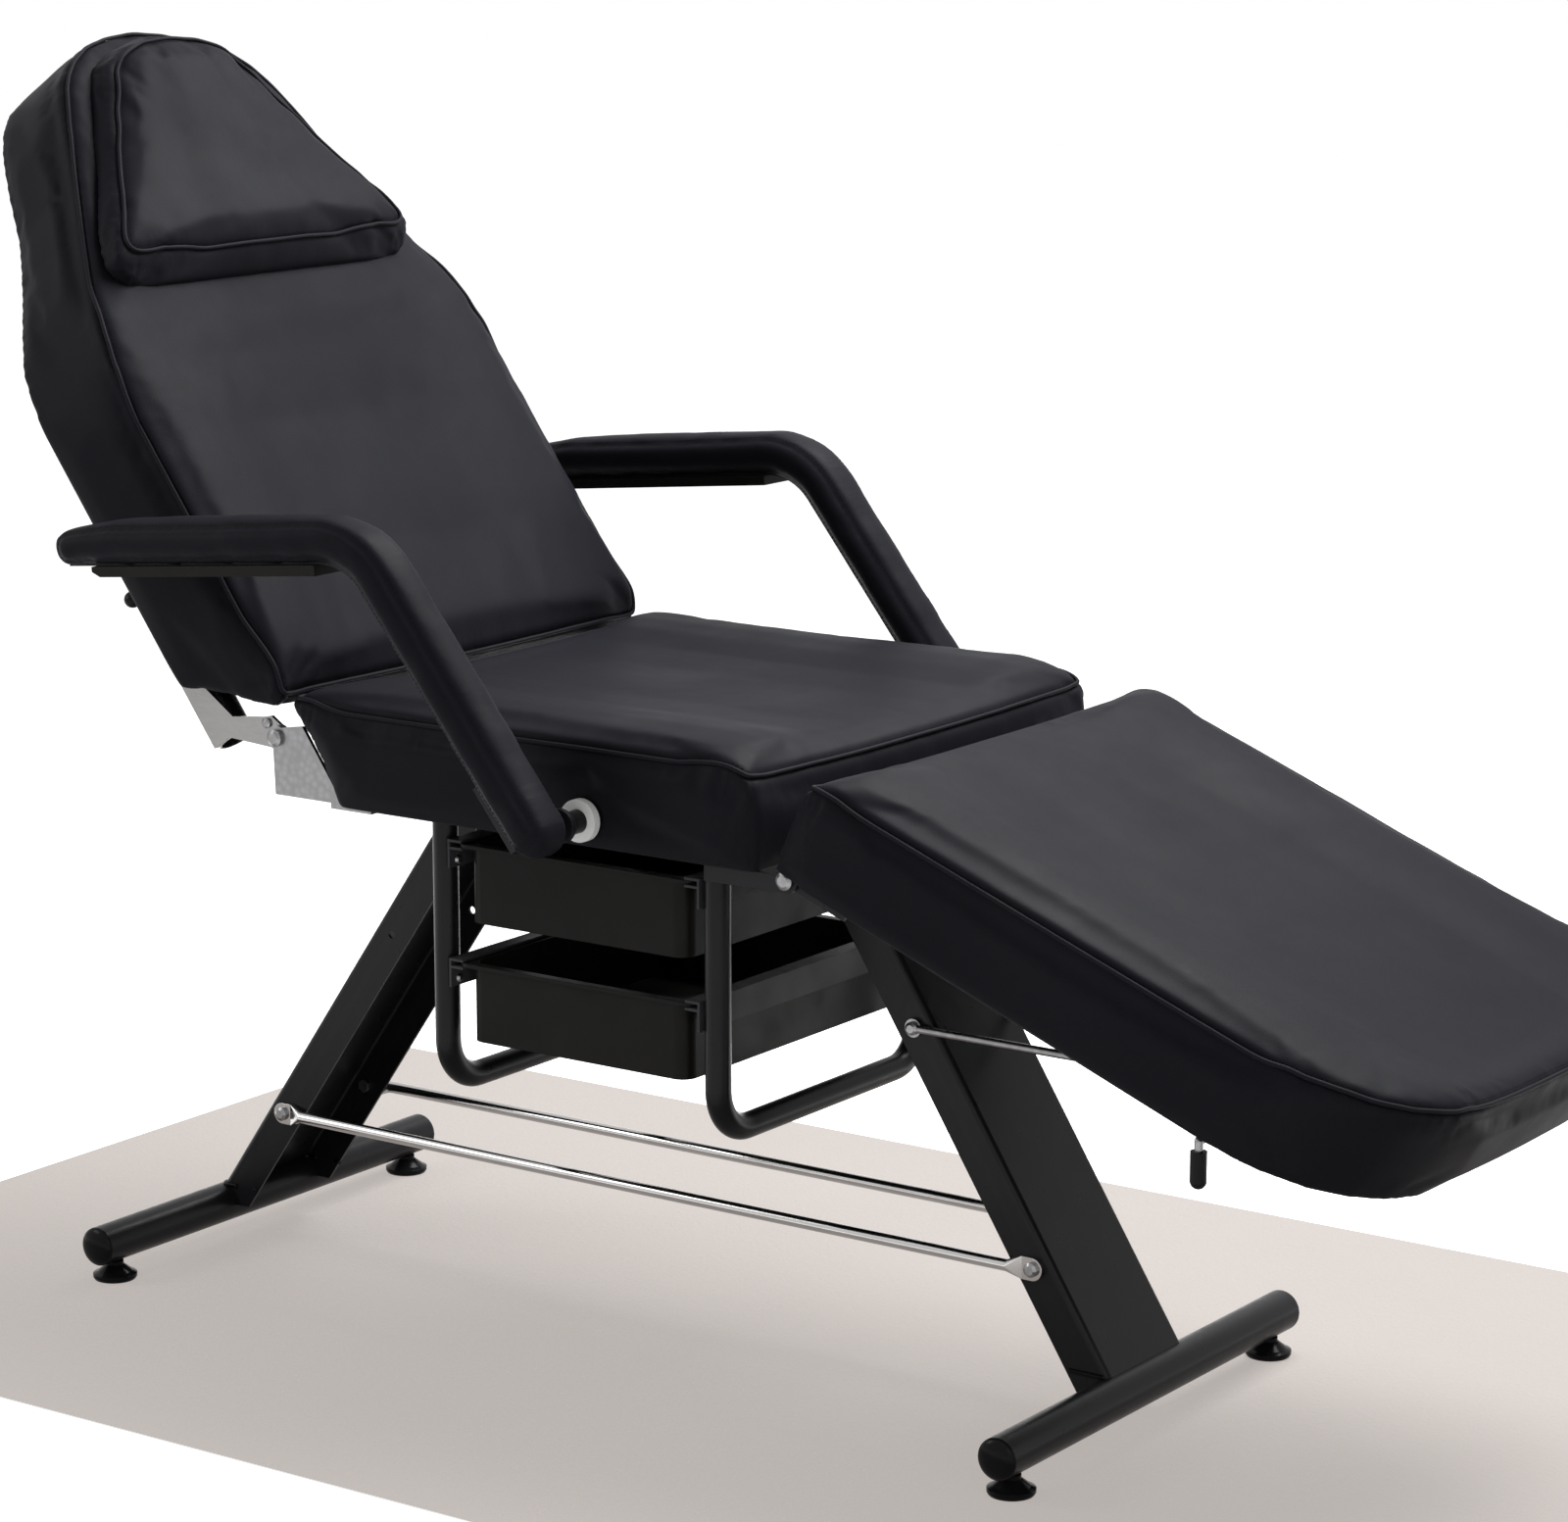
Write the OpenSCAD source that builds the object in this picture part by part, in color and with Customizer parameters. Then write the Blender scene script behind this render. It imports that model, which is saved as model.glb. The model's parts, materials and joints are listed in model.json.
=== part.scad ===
// Beauty bed with a tilting back, a tilting leg rest, two arms that swing forward
// and two trays under the seat. The head end is towards -X, the near side towards -Y.

/* [Cushions] */
// Height of the seat above the floor
seat_height = 650; // [620:5:690]
// Width of the seat, back and leg cushions
cushion_width = 580; // [560:5:620]
// Thickness of the seat and leg cushions with their boards
cushion_thick = 105; // [98:1:112]
// Thickness of the back cushion with its board
back_thick = 102.5; // [95:0.5:110]
// Length of the seat at its top
seat_length = 556; // [540:2:580]
// Length of the back in front, from its lower edge to the crown of the head
back_length = 776; // [740:4:810]
// Length of the leg rest at its top
leg_length = 660; // [630:5:700]
// Depth of the shallow dish in the cushions
dish_depth = 12; // [4:1:18]
// Height of the soft crest beside the dish
crest_height = 4; // [2:1:8]
// How far the sides of a cushion are drawn in
side_waist = 3; // [0:0.5:5]
// Radius of the seam edge round a cushion's top
seam_round = 10; // [8:1:20]
// Thickness of the plywood boards
board_thick = 12; // [9:1:15]
// Length of the head pillow
pillow_length = 284; // [260:1:300]
// Thickness of the head pillow
pillow_thick = 44; // [38:1:55]
// Distance of the head pillow from the middle of the back, towards the near side
pillow_aside = 12; // [0:1:20]

/* [Back and leg rest] */
// Tilt of the back against the floor, as drawn
back_tilt = 54; // [50:1:58]
// Slope of the leg rest against the floor, as drawn
leg_slope = 21.4; // [16:0.2:25]
// Distance of the back's hinge below the seat's top
back_hinge_drop = 48; // [44:1:52]
// Distance of the back's hinge behind the seat's rear edge
back_hinge_behind = 16; // [12:1:22]
// Distance of the leg rest's hinge ahead of the seat's front edge
leg_hinge_ahead = 25; // [22:1:30]
// Diameter of the hinge bolts
hinge_bolt_d = 10; // [8:0.5:12]
// Diameter of the chrome tubes of the back
back_tube_d = 38; // [32:1:42]
// Distance between the chrome tubes, centre to centre
back_tube_pitch = 496; // [470:2:500]
// Length of the chrome tubes
back_tube_length = 400; // [340:5:440]
// Depth of the rails under the leg rest
leg_rail_depth = 15; // [12:1:16]
// Diameter of the leg rest's prop rod
prop_rod_d = 8; // [6:0.5:10]
// Distance of the prop rod below the leg rest's hinge, as drawn
prop_below_hinge = 180; // [170:1:190]
// Outer radius of the toothed sector of the back
sector_r = 114; // [110:1:118]

/* [Legs] */
// Height of the levelling feet
level_foot_height = 19; // [17:1:24]
// Diameter of the foot tubes
foot_tube_d = 40; // [38:1:45]
// Length of a foot tube with its caps
foot_tube_length = 530; // [480:5:580]
// Distance of the rear leg's top ahead of the seat's rear edge
rear_leg_ahead = 66; // [62:1:72]
// Distance of the front leg's top behind the seat's front edge
front_leg_behind = 82; // [76:1:90]
// Lean of the rear leg against the floor
rear_leg_angle = 55; // [53:0.5:57]
// Lean of the front leg against the floor
front_leg_angle = 57.5; // [56:0.5:59.5]
// Width of the leg channels
leg_width = 132; // [120:1:140]
// Depth of the leg channels
leg_depth = 40; // [36:1:44]
// Wall of the leg channels
leg_wall = 3; // [2:0.5:4]
// Height of the tie rods above the floor
tie_rod_height = 151; // [130:1:200]
// Diameter of the tie rods
tie_rod_d = 12; // [10:0.5:14]

/* [Frame and trays] */
// Height of the rectangular tubes of the seat frame
frame_tube_h = 15; // [12:1:18]
// Width of the rectangular tubes of the seat frame
frame_tube_w = 30; // [28:1:34]
// Wall of the rectangular tubes
frame_wall = 2; // [1.5:0.5:3]
// Distance between the side rails, centre to centre
rail_pitch = 340; // [330:2:360]
// Diameter of the tubes of the tray frames
tray_tube_d = 25; // [20:1:25]
// Distance between the two tray frames, centre to centre
tray_frame_gap = 325; // [320:1:340]
// Distance of the rear tray frame ahead of the seat's rear edge
tray_frame_ahead = 105; // [95:1:115]
// Height of the lowest tube of a tray frame above the floor
tray_frame_height = 255; // [235:1:262]
// Bend radius of a tray frame
tray_frame_bend = 45; // [35:1:55]
// Length of a tray along the slide
tray_length = 352; // [320:2:360]
// Width of a tray
tray_width = 260; // [250:1:264]
// Depth of a tray
tray_depth = 78; // [60:1:80]
// Distance from one tray to the next
tray_pitch = 118; // [110:1:120]
// Wall of a tray
tray_wall = 3; // [2:0.5:4]

/* [Arms] */
// Distance of an arm's middle plane from the bed's middle
arm_side = 356; // [350:1:380]
// Width of an arm pad
arm_pad_w = 60; // [50:1:64]
// Thickness of an arm pad
arm_thick = 45; // [40:1:52]
// Length of the arm's top stretch, up to the corner
arm_top_length = 376; // [330:1:400]
// Length of the arm's slanted stretch, from the corner to the hinge
arm_strut_length = 320; // [300:1:330]
// Rise of the arm's top stretch
arm_rise = 5.6; // [3:0.2:9]
// Lean of the arm's slanted stretch
arm_lean = 51.5; // [49:0.5:54]
// Bend radius of the arm's middle line
arm_bend = 80; // [75:1:100]
// Height of the arm's hinge below the seat's top
arm_hinge_drop = 78; // [76:1:80]
// Distance of the arm's hinge behind the seat's front edge
arm_hinge_behind = 191; // [175:1:200]
// Diameter of the arm's spigot
spigot_d = 22; // [18:1:24]
// Diameter of the white bush
bush_d = 40; // [36:1:42]

/* [Hidden] */

$fn = 48;
// Clearances: a running pin, two faces that pass each other, and a soft piece beside its seat
run_gap = 0.05;
face_gap = 0.3;
soft_gap = 0.3;
// One overrun for all cuts
over = 1;

// Cushions
half_w = cushion_width / 2;
foot_round = 4;
board_inset = 14;
board_fit = 0.2;
seat_undercut = 68;
seat_top_behind = 6;
seat_lip = 12;
back_bevel = 95;
back_top_slant = 3;
back_rear_taper = 4;
back_head_taper = 18;
back_skirt = 13;
leg_undercut = 27;
leg_corner_top = 120;
leg_corner_bottom = 150;
leg_overhang = 14.5;
leg_end_fall = 0.5;
leg_hinge_drop = 4;
seat_under = seat_height - cushion_thick;
side_shares = [0.25, 0.5, 0.75];
arc_angles = [0, 30, 60, 90];
top_shares = [0.1, 0.22, 0.36, 0.52, 0.76];

// Hinges
back_hinge = [-back_hinge_behind, 0, seat_height - back_hinge_drop];
leg_hinge = [seat_length + leg_hinge_ahead, 0, seat_under - leg_hinge_drop];
plate_thick = 4;
bolt_head_h = 6;
bolt_head_d = 1.7 * hinge_bolt_d;
eye_r = 1.2 * hinge_bolt_d;
tab_inner = back_tube_pitch / 2 + back_tube_d / 2;
tab_outer = tab_inner + plate_thick;
plate_inner = tab_outer + face_gap;
plate_outer = plate_inner + plate_thick;

// Back: its face, its rear and the lines of its tubes, measured from the hinge along the normal
back_face = 53;
back_rear = back_face - back_thick;
back_foot = -1;
back_top = back_foot + back_length;
tube_line = back_rear - back_tube_d / 2;
tube_foot = 32;
tube_wall = 2;
clip_thick = 2.5;
clip_width = 24;
clip_foot = 14;
clip_shares = [0.22, 0.85];
bar_d = 20;
lower_bar_up = 112;
release_up = 170;
shaft_d = 10;
shaft_line = tube_line - back_tube_d / 2 - shaft_d / 2 - 0.75 * shaft_d;
lug_thick = 6;
lug_half_w = 11;
pillow_up = 464;

// Outline of the back and of the pillow: share of the length up from the foot, share of the half width
back_outline_shares = [
    [0, 0.985], [0.01, 0.993], [0.028, 0.997], [0.06, 1], [0.2, 1], [0.4, 1], [0.5, 1],
    [0.545, 0.983], [0.588, 0.947], [0.63, 0.882], [0.7, 0.79], [0.77, 0.707], [0.85, 0.623], [0.9, 0.56],
    [0.932, 0.5], [0.958, 0.42], [0.98, 0.3], [0.993, 0.17], [1, 0.05]
];
pillow_outline_shares = [
    [0, 0.676], [0.029, 0.738], [0.072, 0.772], [0.126, 0.775], [0.219, 0.735], [0.324, 0.672],
    [0.414, 0.614], [0.518, 0.552], [0.612, 0.507], [0.723, 0.441], [0.827, 0.386], [0.9, 0.334],
    [0.953, 0.24], [0.986, 0.14], [1, 0.05]
];

// Legs
foot_centre = level_foot_height + foot_tube_d / 2;
leg_foot_z = level_foot_height + foot_tube_d;
frame_under = seat_under - frame_tube_h;
leg_fold_r = 6;
rear_depth = leg_depth / sin(rear_leg_angle);
front_depth = leg_depth / sin(front_leg_angle);
rear_cross_x = rear_leg_ahead;
leg_cross_x = seat_length - front_leg_behind;
rear_foot_x = rear_cross_x - rear_depth / 2 - (frame_under - leg_foot_z) / tan(rear_leg_angle);
front_foot_x = leg_cross_x + front_depth / 2 + (frame_under - leg_foot_z) / tan(front_leg_angle);
function rear_web_x(z) = rear_foot_x + (z - leg_foot_z) / tan(rear_leg_angle);
function front_web_x(z) = front_foot_x - (z - leg_foot_z) / tan(front_leg_angle);
foot_wall = 2;
cap_h = 8;
cap_plug = 15;
level_foot_inset = 32;
level_foot_y = foot_tube_length / 2 - level_foot_inset;
level_pad_d = 45;
level_stud_d = 10;
tie_eye_r = 11;
tie_eye_thick = 5;
tie_taper = 26;
tie_bolt_d = 8;
washer_gap = 0.3;
nut_h = 5;
tie_rear_x = rear_web_x(tie_rod_height) + rear_depth / 2;
tie_front_x = front_web_x(tie_rod_height) - front_depth / 2;

// Seat frame
rail_y = rail_pitch / 2;
front_cross_x = seat_length - frame_tube_w;
seat_board_rear = seat_undercut + board_inset;
seat_board_front = seat_length - seat_lip - board_inset / 2;

// Tray frames, runners and trays
tray_rear_x = tray_frame_ahead;
tray_front_x = tray_frame_ahead + tray_frame_gap;
tray_mid_x = (tray_rear_x + tray_front_x) / 2;
tray_tube_wall = 2;
tray_under_frame = 30;
tray_rim_thick = 4;
tray_rim_w = 12;
tray_rim_end = 7;
tray_corner_r = 15;
upper_tray_top = frame_under - tray_under_frame;
lower_tray_top = upper_tray_top - tray_pitch;
runner_thick = 2.5;
runner_leg_w = 17;
runner_skirt = 26;
runner_gap = 0.4;
screw_d = 4;
screw_head_d = 9;
screw_head_h = 2.8;
screw_drop = 19;

// Prop and racks of the leg rest
prop_eye_r = 9;
prop_eye_thick = 4;
prop_height = leg_hinge[2] - prop_below_hinge;
prop_pivot_x = front_web_x(prop_height) - front_depth / 2;
prop_side_y = leg_width / 2 + washer_gap + prop_eye_thick;
prop_bolt_d = 8;
rack_thick = 6;
rack_flange = 20;
rack_flange_thick = 3;
rack_y = 52;
rack_tooth = 5;
rack_tooth_pitch = 15;
rack_back = 85;
rack_ahead = 30;
rack_bite = 0.5;
rack_depth = leg_rail_depth + prop_rod_d / 2 - rack_bite;
rod_line = leg_hinge_drop - rack_depth - face_gap - prop_rod_d / 2;
rod_along = (leg_hinge[2] - prop_height + rod_line * cos(leg_slope)) / sin(leg_slope);
prop_end_x = leg_hinge[0] + rod_along * cos(leg_slope) + rod_line * sin(leg_slope);
prop_grip_y = 242;
grip_d = 15;
grip_length = 34;
prop_drop = 9;

// Toothed sector, pawl and release of the back
sector_y = 140;
sector_thick = 6;
sector_band = 22;
sector_tooth = 6;
sector_tooth_angle = 6;
sector_from_angle = 207;
sector_to_angle = 273;
pawl_angle = 210.5;
pawl_gap = 0.4;
pawl_w = 14;
pawl_out = 11;
pawl_local = pawl_angle + back_tilt;
crank_length = 40;
crank_thick = 5;
knob_d = 17;

// Arms
arm_hinge = [seat_length - arm_hinge_behind, 0, seat_height - arm_hinge_drop];
arm_corner = arm_hinge + arm_strut_length * [-cos(arm_lean), 0, sin(arm_lean)];
arm_tail = 4;
base_thick = 10;
base_w = 44;
base_end_share = 0.14;
strip_thick = 5;
strip_w = 30;
pad_round = 18;
bush_h = 8;
socket_d = 30;
socket_saddle = 24;
socket_length = 60;

// Whole bed: the middle of its length is the origin
head_x = back_hinge[0] - (back_top + back_top_slant) * cos(back_tilt)
    + (back_rear - back_skirt) * sin(back_tilt);
leg_end_h = cushion_thick - leg_end_fall * seam_round;
leg_end_along = leg_length - leg_overhang - leg_undercut * (1 - leg_end_h / cushion_thick);
leg_end_x = leg_hinge[0] + leg_end_along * cos(leg_slope) + (leg_hinge_drop + leg_end_h) * sin(leg_slope);
middle_x = (head_x + leg_end_x) / 2;

// Shapes that repeat

module on_back() {
    translate(back_hinge) rotate([0, back_tilt, 0]) children();
}

module on_leg() {
    translate(leg_hinge) rotate([0, leg_slope, 0]) children();
}

module both_sides() {
    children();
    mirror([0, 1, 0]) children();
}

// A cylinder along Y from y1 to y2
module y_bar(d, y1, y2) {
    translate([0, y2, 0]) rotate([90, 0, 0]) cylinder(d = d, h = y2 - y1);
}

// A plate in the XZ plane from y1 to y2, from a flat shape
module y_plate(y1, y2) {
    translate([0, y2, 0]) rotate([90, 0, 0]) linear_extrude(y2 - y1) children();
}

module box(from, to) {
    translate(from) cube(to - from);
}

module rounded_rect(size_x, size_y, r) {
    square([size_x - 2 * r, size_y], center = true);
    square([size_x, size_y - 2 * r], center = true);
    for (sx = [-1, 1], sy = [-1, 1]) translate([sx * (size_x / 2 - r), sy * (size_y / 2 - r)]) circle(r);
}

// Soft rise and fall used by the cushions
function ease(t) = let (u = max(0, min(1, t))) u * u * (3 - 2 * u);
function crest(k) = sin(180 * min(1, k / 0.5));

// Right half of a cushion's cross-section, from the bottom up to the middle of the top, as [y, z]
function half_section(w, h, r, rise, dish) = concat(
    [[w - foot_round, 0], [w, foot_round]],
    [for (k = side_shares) [w - side_waist * sin(180 * k), foot_round + (h - r - foot_round) * k]],
    [for (a = arc_angles) [w - r + r * cos(a), h - r + r * sin(a)]],
    [for (k = top_shares) [(w - r) * (1 - k), h + rise * crest(k) - dish * ease((k - 0.15) / 0.6)]]
);

function section(w, h, r, rise, dish) =
    let (right = half_section(w, h, r, rise, dish), n = len(right))
    concat(right, [[0, h - dish]], [for (i = [n - 1 : -1 : 0]) [-right[i][0], right[i][1]]]);

// A station is [x at the top, x at the bottom, half width at the top and at the bottom, height, rise, dish]
function station_ring(s, full, r) =
    let (edge_r = min(r, 0.45 * s[2], 0.85 * (s[4] - foot_round)))
    [for (p = section(s[2], s[4], edge_r, s[5], s[6])) let (k = min(1, p[1] / full))
        [s[1] + (s[0] - s[1]) * p[1] / full, p[0] * (k + (1 - k) * s[3] / s[2]), p[1]]];

function mean(points, i) = [for (p = points) p[i]] * [for (p = points) 1] / len(points);

// Closed skin through rings of equally many points, from low x to high x
module skin(rings) {
    n = len(rings[0]);
    m = len(rings);
    first = rings[0];
    last = rings[m - 1];
    points = concat([for (ring = rings) for (p = ring) p], [
        [mean(first, 0), mean(first, 1), mean(first, 2)],
        [mean(last, 0), mean(last, 1), mean(last, 2)]
    ]);
    sides = [for (i = [0 : m - 2], j = [0 : n - 1]) let (
        a = i * n + j, b = i * n + (j + 1) % n, c = b + n, d = a + n
    ) each [[a, d, c], [a, c, b]]];
    low_cap = [for (j = [0 : n - 1]) [m * n, j, (j + 1) % n]];
    high_cap = [for (j = [0 : n - 1]) [m * n + 1, (m - 1) * n + (j + 1) % n, (m - 1) * n + j]];
    polyhedron(points, concat(sides, low_cap, high_cap));
}

module cushion(stations, full, r) {
    skin([for (s = stations) station_ring(s, full, r)]);
}

// Cushions

// Seat: slanted rear face, soft front edge. Shares of the cushion's thickness, inwards from each end
rear_end_shares = [0, 0.035, 0.11, 0.28, 0.55];
rear_fall_shares = [0.105, 0.07, 0.04, 0.012, 0];
front_end_shares = [0, 0.03, 0.09, 0.22, 0.42, 0.7];
front_fall_shares = [0.42, 0.24, 0.14, 0.07, 0.025, 0];
// How far the plan corners and the dish have come at each of those places
end_width_shares = [0.6, 0.25, 0.05, 0, 0, 0];
end_dish_shares = [0, 0.03, 0.1, 0.35, 0.8, 1];

// Station of a cushion's plain end: how far in, how much lower, and which place in the tables
function end_station(x_top, x_bottom, fall, i) =
    let (w = half_w - end_width_shares[i] * seam_round)
    [x_top, x_bottom, w, w, cushion_thick - fall * cushion_thick,
        crest_height * end_dish_shares[i], dish_depth * end_dish_shares[i]];

module seat_cushion_body() {
    rear = [for (i = [0 : len(rear_end_shares) - 1]) let (x = rear_end_shares[i] * cushion_thick)
        end_station(x - seat_top_behind, seat_undercut + x, rear_fall_shares[i], i)];
    front = [for (i = [len(front_end_shares) - 1 : -1 : 0])
        let (x = seat_length - front_end_shares[i] * cushion_thick)
        end_station(x, x, front_fall_shares[i], i)];
    middle = [for (k = [0.3, 0.55]) let (x = seat_length * k)
        [x, seat_undercut + x * (1 - seat_undercut / seat_length), half_w, half_w, cushion_thick,
            crest_height, dish_depth]];
    cushion(concat(rear, middle, front), cushion_thick, seam_round);
}

module seat_cushion() {
    color([0.12, 0.12, 0.13]) difference() {
        translate([0, 0, seat_under]) seat_cushion_body();
        box(
            [seat_board_rear - board_fit, -half_w + board_inset - board_fit, seat_under - over],
            [seat_board_front + board_fit, half_w - board_inset + board_fit, seat_under + board_thick]
        );
        both_sides() translate([arm_hinge[0], 0, arm_hinge[2]]) {
            y_bar(socket_d + 2 * soft_gap, half_w - socket_length, half_w + over);
            box(
                [-socket_saddle / 2 - soft_gap, half_w - socket_length - soft_gap, seat_under - arm_hinge[2]],
                [socket_saddle / 2 + soft_gap, half_w - board_inset + board_fit, 0]
            );
        }
    }
}

module seat_board() {
    color([0.62, 0.48, 0.32]) box(
        [seat_board_rear, -half_w + board_inset, seat_under],
        [seat_board_front, half_w - board_inset, seat_under + board_thick]
    );
}

// Back: the outline table gives the half widths, and the foot is bevelled
back_foot_fall = 25;
back_foot_fall_share = 0.09;
function back_station(along, wide) =
    let (
        up = back_foot + back_length * along,
        rear_up = back_bevel * max(0, 1 - along / 0.4) + back_top_slant * ease((along - 0.6) / 0.35),
        fall = back_foot_fall * pow(max(0, 1 - along / back_foot_fall_share), 2)
            + 0.8 * seam_round * ease((along - 0.95) / 0.05),
        dish = min(ease((along - 0.01) / 0.14), ease((0.6 - along) / 0.2)),
        head = ease((along - 0.62) / 0.14),
        taper = (back_rear_taper + (back_head_taper - back_rear_taper) * head) * min(1, 1.4 * wide)
    )
    [-up, -up - rear_up, half_w * wide, max(half_w * wide - taper, 0.4 * half_w * wide),
        back_thick + back_skirt - fall, crest_height * dish, dish_depth * dish];

module back_cushion_body() {
    n = len(back_outline_shares);
    cushion(
        [for (i = [n - 1 : -1 : 0]) back_station(back_outline_shares[i][0], back_outline_shares[i][1])],
        back_thick + back_skirt, seam_round
    );
}

// Board outline of the back, drawn in by a distance, as [x, y] in the back's own frame
back_board_from = 0.2;
function back_board_half(inset) = concat(
    [[-(back_foot + back_bevel + inset), half_w - back_head_taper - inset]],
    [for (p = back_outline_shares) if (p[0] > back_board_from && p[0] < 0.99)
        [-(back_foot + back_length * p[0] - inset), half_w * p[1] - back_head_taper - inset]]
);

module back_board_shape(inset) {
    half = back_board_half(inset);
    n = len(half);
    polygon(concat(half, [for (i = [n - 1 : -1 : 0]) [half[i][0], -half[i][1]]]));
}

// Behind the board the foot end is open between the sides, for the tubes and the hinge tabs
back_skirt_open = tab_outer + soft_gap;
module back_cushion() {
    color([0.12, 0.12, 0.13]) on_back() difference() {
        translate([0, 0, back_rear - back_skirt]) back_cushion_body();
        translate([0, 0, back_rear - back_skirt - over]) linear_extrude(board_thick + back_skirt + over)
            back_board_shape(board_inset - board_fit);
        box([-tube_foot - back_tube_length - clip_thick, -back_skirt_open, back_rear - back_skirt - over],
            [over, back_skirt_open, back_rear]);
    }
}

module back_board() {
    color([0.62, 0.48, 0.32]) on_back() translate([0, 0, back_rear])
        linear_extrude(board_thick) back_board_shape(board_inset);
}

// Leg rest: soft head end, round corners in plan and a slanted end at the foot
leg_head_fall_shares = [0.4, 0.22, 0.11, 0.04, 0.01, 0];
leg_corner_angles = [0, 18, 36, 52, 66, 78, 90];

module leg_cushion_body() {
    top_end = leg_length - leg_overhang;
    bottom_end = top_end - leg_undercut;
    head = [for (i = [0 : len(front_end_shares) - 1])
        let (x = 0.8 * front_end_shares[i] * cushion_thick - leg_overhang)
        end_station(x, x, leg_head_fall_shares[i], i)];
    middle = [for (k = [0.3, 0.55]) [top_end * k, bottom_end * k, half_w, half_w, cushion_thick,
        crest_height, dish_depth]];
    foot = [for (a = leg_corner_angles) let (fall = ease(1.5 * a / 90 - 0.5)) [
        top_end - leg_corner_top * (1 - sin(a)), bottom_end - leg_corner_bottom * (1 - sin(a)),
        half_w - leg_corner_top * (1 - cos(a)), half_w - leg_corner_bottom * (1 - cos(a)),
        cushion_thick - leg_end_fall * seam_round * fall, crest_height * (1 - fall), dish_depth * (1 - fall)
    ]];
    cushion(concat(head, middle, foot), cushion_thick, seam_round);
}

// Room for the hinge eyes and bolt heads under the head end of the leg rest
recess_room = 5;
recess_over = 2;
leg_recess_y = [back_tube_pitch / 2 + 2 * recess_room, half_w - recess_room];
leg_recess_x = eye_r + recess_room;
leg_recess_h = board_thick + recess_over;

module leg_hinge_recess() {
    both_sides() box(
        [-leg_overhang - over, leg_recess_y[0], leg_hinge_drop - over],
        [leg_recess_x, leg_recess_y[1], leg_hinge_drop + leg_recess_h]
    );
}

leg_board_rear = board_inset / 2 - leg_overhang;
leg_board_front = leg_length - leg_overhang - leg_undercut - board_inset;
leg_board_r = leg_corner_bottom - board_inset;

module leg_board_block(fit) {
    box(
        [leg_board_rear - fit, -half_w + board_inset - fit, leg_hinge_drop],
        [leg_board_front - leg_board_r, half_w - board_inset + fit, leg_hinge_drop + board_thick]
    );
    box(
        [leg_board_rear - fit, -half_w + board_inset + leg_board_r, leg_hinge_drop],
        [leg_board_front + fit, half_w - board_inset - leg_board_r, leg_hinge_drop + board_thick]
    );
    both_sides()
        translate([leg_board_front - leg_board_r, half_w - board_inset - leg_board_r, leg_hinge_drop])
        cylinder(r = leg_board_r + fit, h = board_thick);
}

module leg_cushion() {
    color([0.12, 0.12, 0.13]) on_leg() difference() {
        translate([0, 0, leg_hinge_drop]) leg_cushion_body();
        translate([0, 0, -over]) leg_board_block(board_fit);
        leg_board_block(board_fit);
        leg_hinge_recess();
    }
}

module leg_board() {
    color([0.62, 0.48, 0.32]) on_leg() difference() {
        leg_board_block(0);
        leg_hinge_recess();
    }
}

// Pillow: lies on the head of the back, thin at its lower end and crowned in the middle
pillow_crown_share = 0.27;
module head_pillow() {
    n = len(pillow_outline_shares);
    stations = [for (i = [n - 1 : -1 : 0]) let (
        p = pillow_outline_shares[i],
        low = pow(max(0, 1 - p[0] / 0.15), 2),
        high = pow(max(0, (p[0] - 0.93) / 0.07), 2),
        x = -(pillow_up + pillow_length * p[0]),
        crown = pillow_crown_share * pillow_thick
    ) [x, x, half_w * p[1], half_w * p[1], (pillow_thick - crown) * (1 - 0.72 * low - 0.5 * high),
        0.5 * crown * (1 - low) * (1 - high), -crown * (1 - low) * (1 - high)]];
    color([0.13, 0.13, 0.14]) on_back() translate([0, -pillow_aside, back_face + soft_gap])
        cushion(stations, pillow_thick, 1.3 * seam_round);
}

// Legs and feet

// Folded channel in plan: the web at x = 0, the open side towards +x
module channel_shape() {
    difference() {
        channel_outline(leg_depth, leg_width, leg_fold_r);
        translate([leg_wall, 0]) channel_outline(leg_depth, leg_width - 2 * leg_wall, leg_fold_r - leg_wall);
    }
}

module channel_outline(depth, width, r) {
    translate([r, -width / 2]) square([depth - r, width]);
    translate([0, -width / 2 + r]) square([depth, width - 2 * r]);
    for (s = [-1, 1]) translate([r, s * (width / 2 - r)]) circle(r);
}

// A leg that stands on its foot tube at x = 0 and leans towards +x
module leg_channel(angle) {
    reach = (frame_under - leg_foot_z) / sin(angle);
    depth = leg_depth / sin(angle);
    difference() {
        intersection() {
            translate([0, 0, leg_foot_z]) rotate([0, 90 - angle, 0])
                translate([0, 0, -leg_depth]) linear_extrude(reach + 2 * leg_depth) channel_shape();
            box(
                [-leg_depth, -leg_width, foot_centre],
                [reach + 2 * leg_depth, leg_width, frame_under]
            );
        }
        y_tube_space();
        for (z = [tie_rod_height, prop_height]) translate([(z - leg_foot_z) / tan(angle) + depth / 2, 0, z])
            y_bar(tie_bolt_d + 2 * run_gap, -leg_width, leg_width);
    }
}

module y_tube_space() {
    translate([0, 0, foot_centre]) y_bar(foot_tube_d, -leg_width, leg_width);
}

module rear_leg_channel() {
    color([0.07, 0.07, 0.07]) translate([rear_foot_x, 0, 0]) leg_channel(rear_leg_angle);
}

module front_leg_channel() {
    color([0.07, 0.07, 0.07]) translate([front_foot_x, 0, 0]) mirror([1, 0, 0]) leg_channel(front_leg_angle);
}

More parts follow.
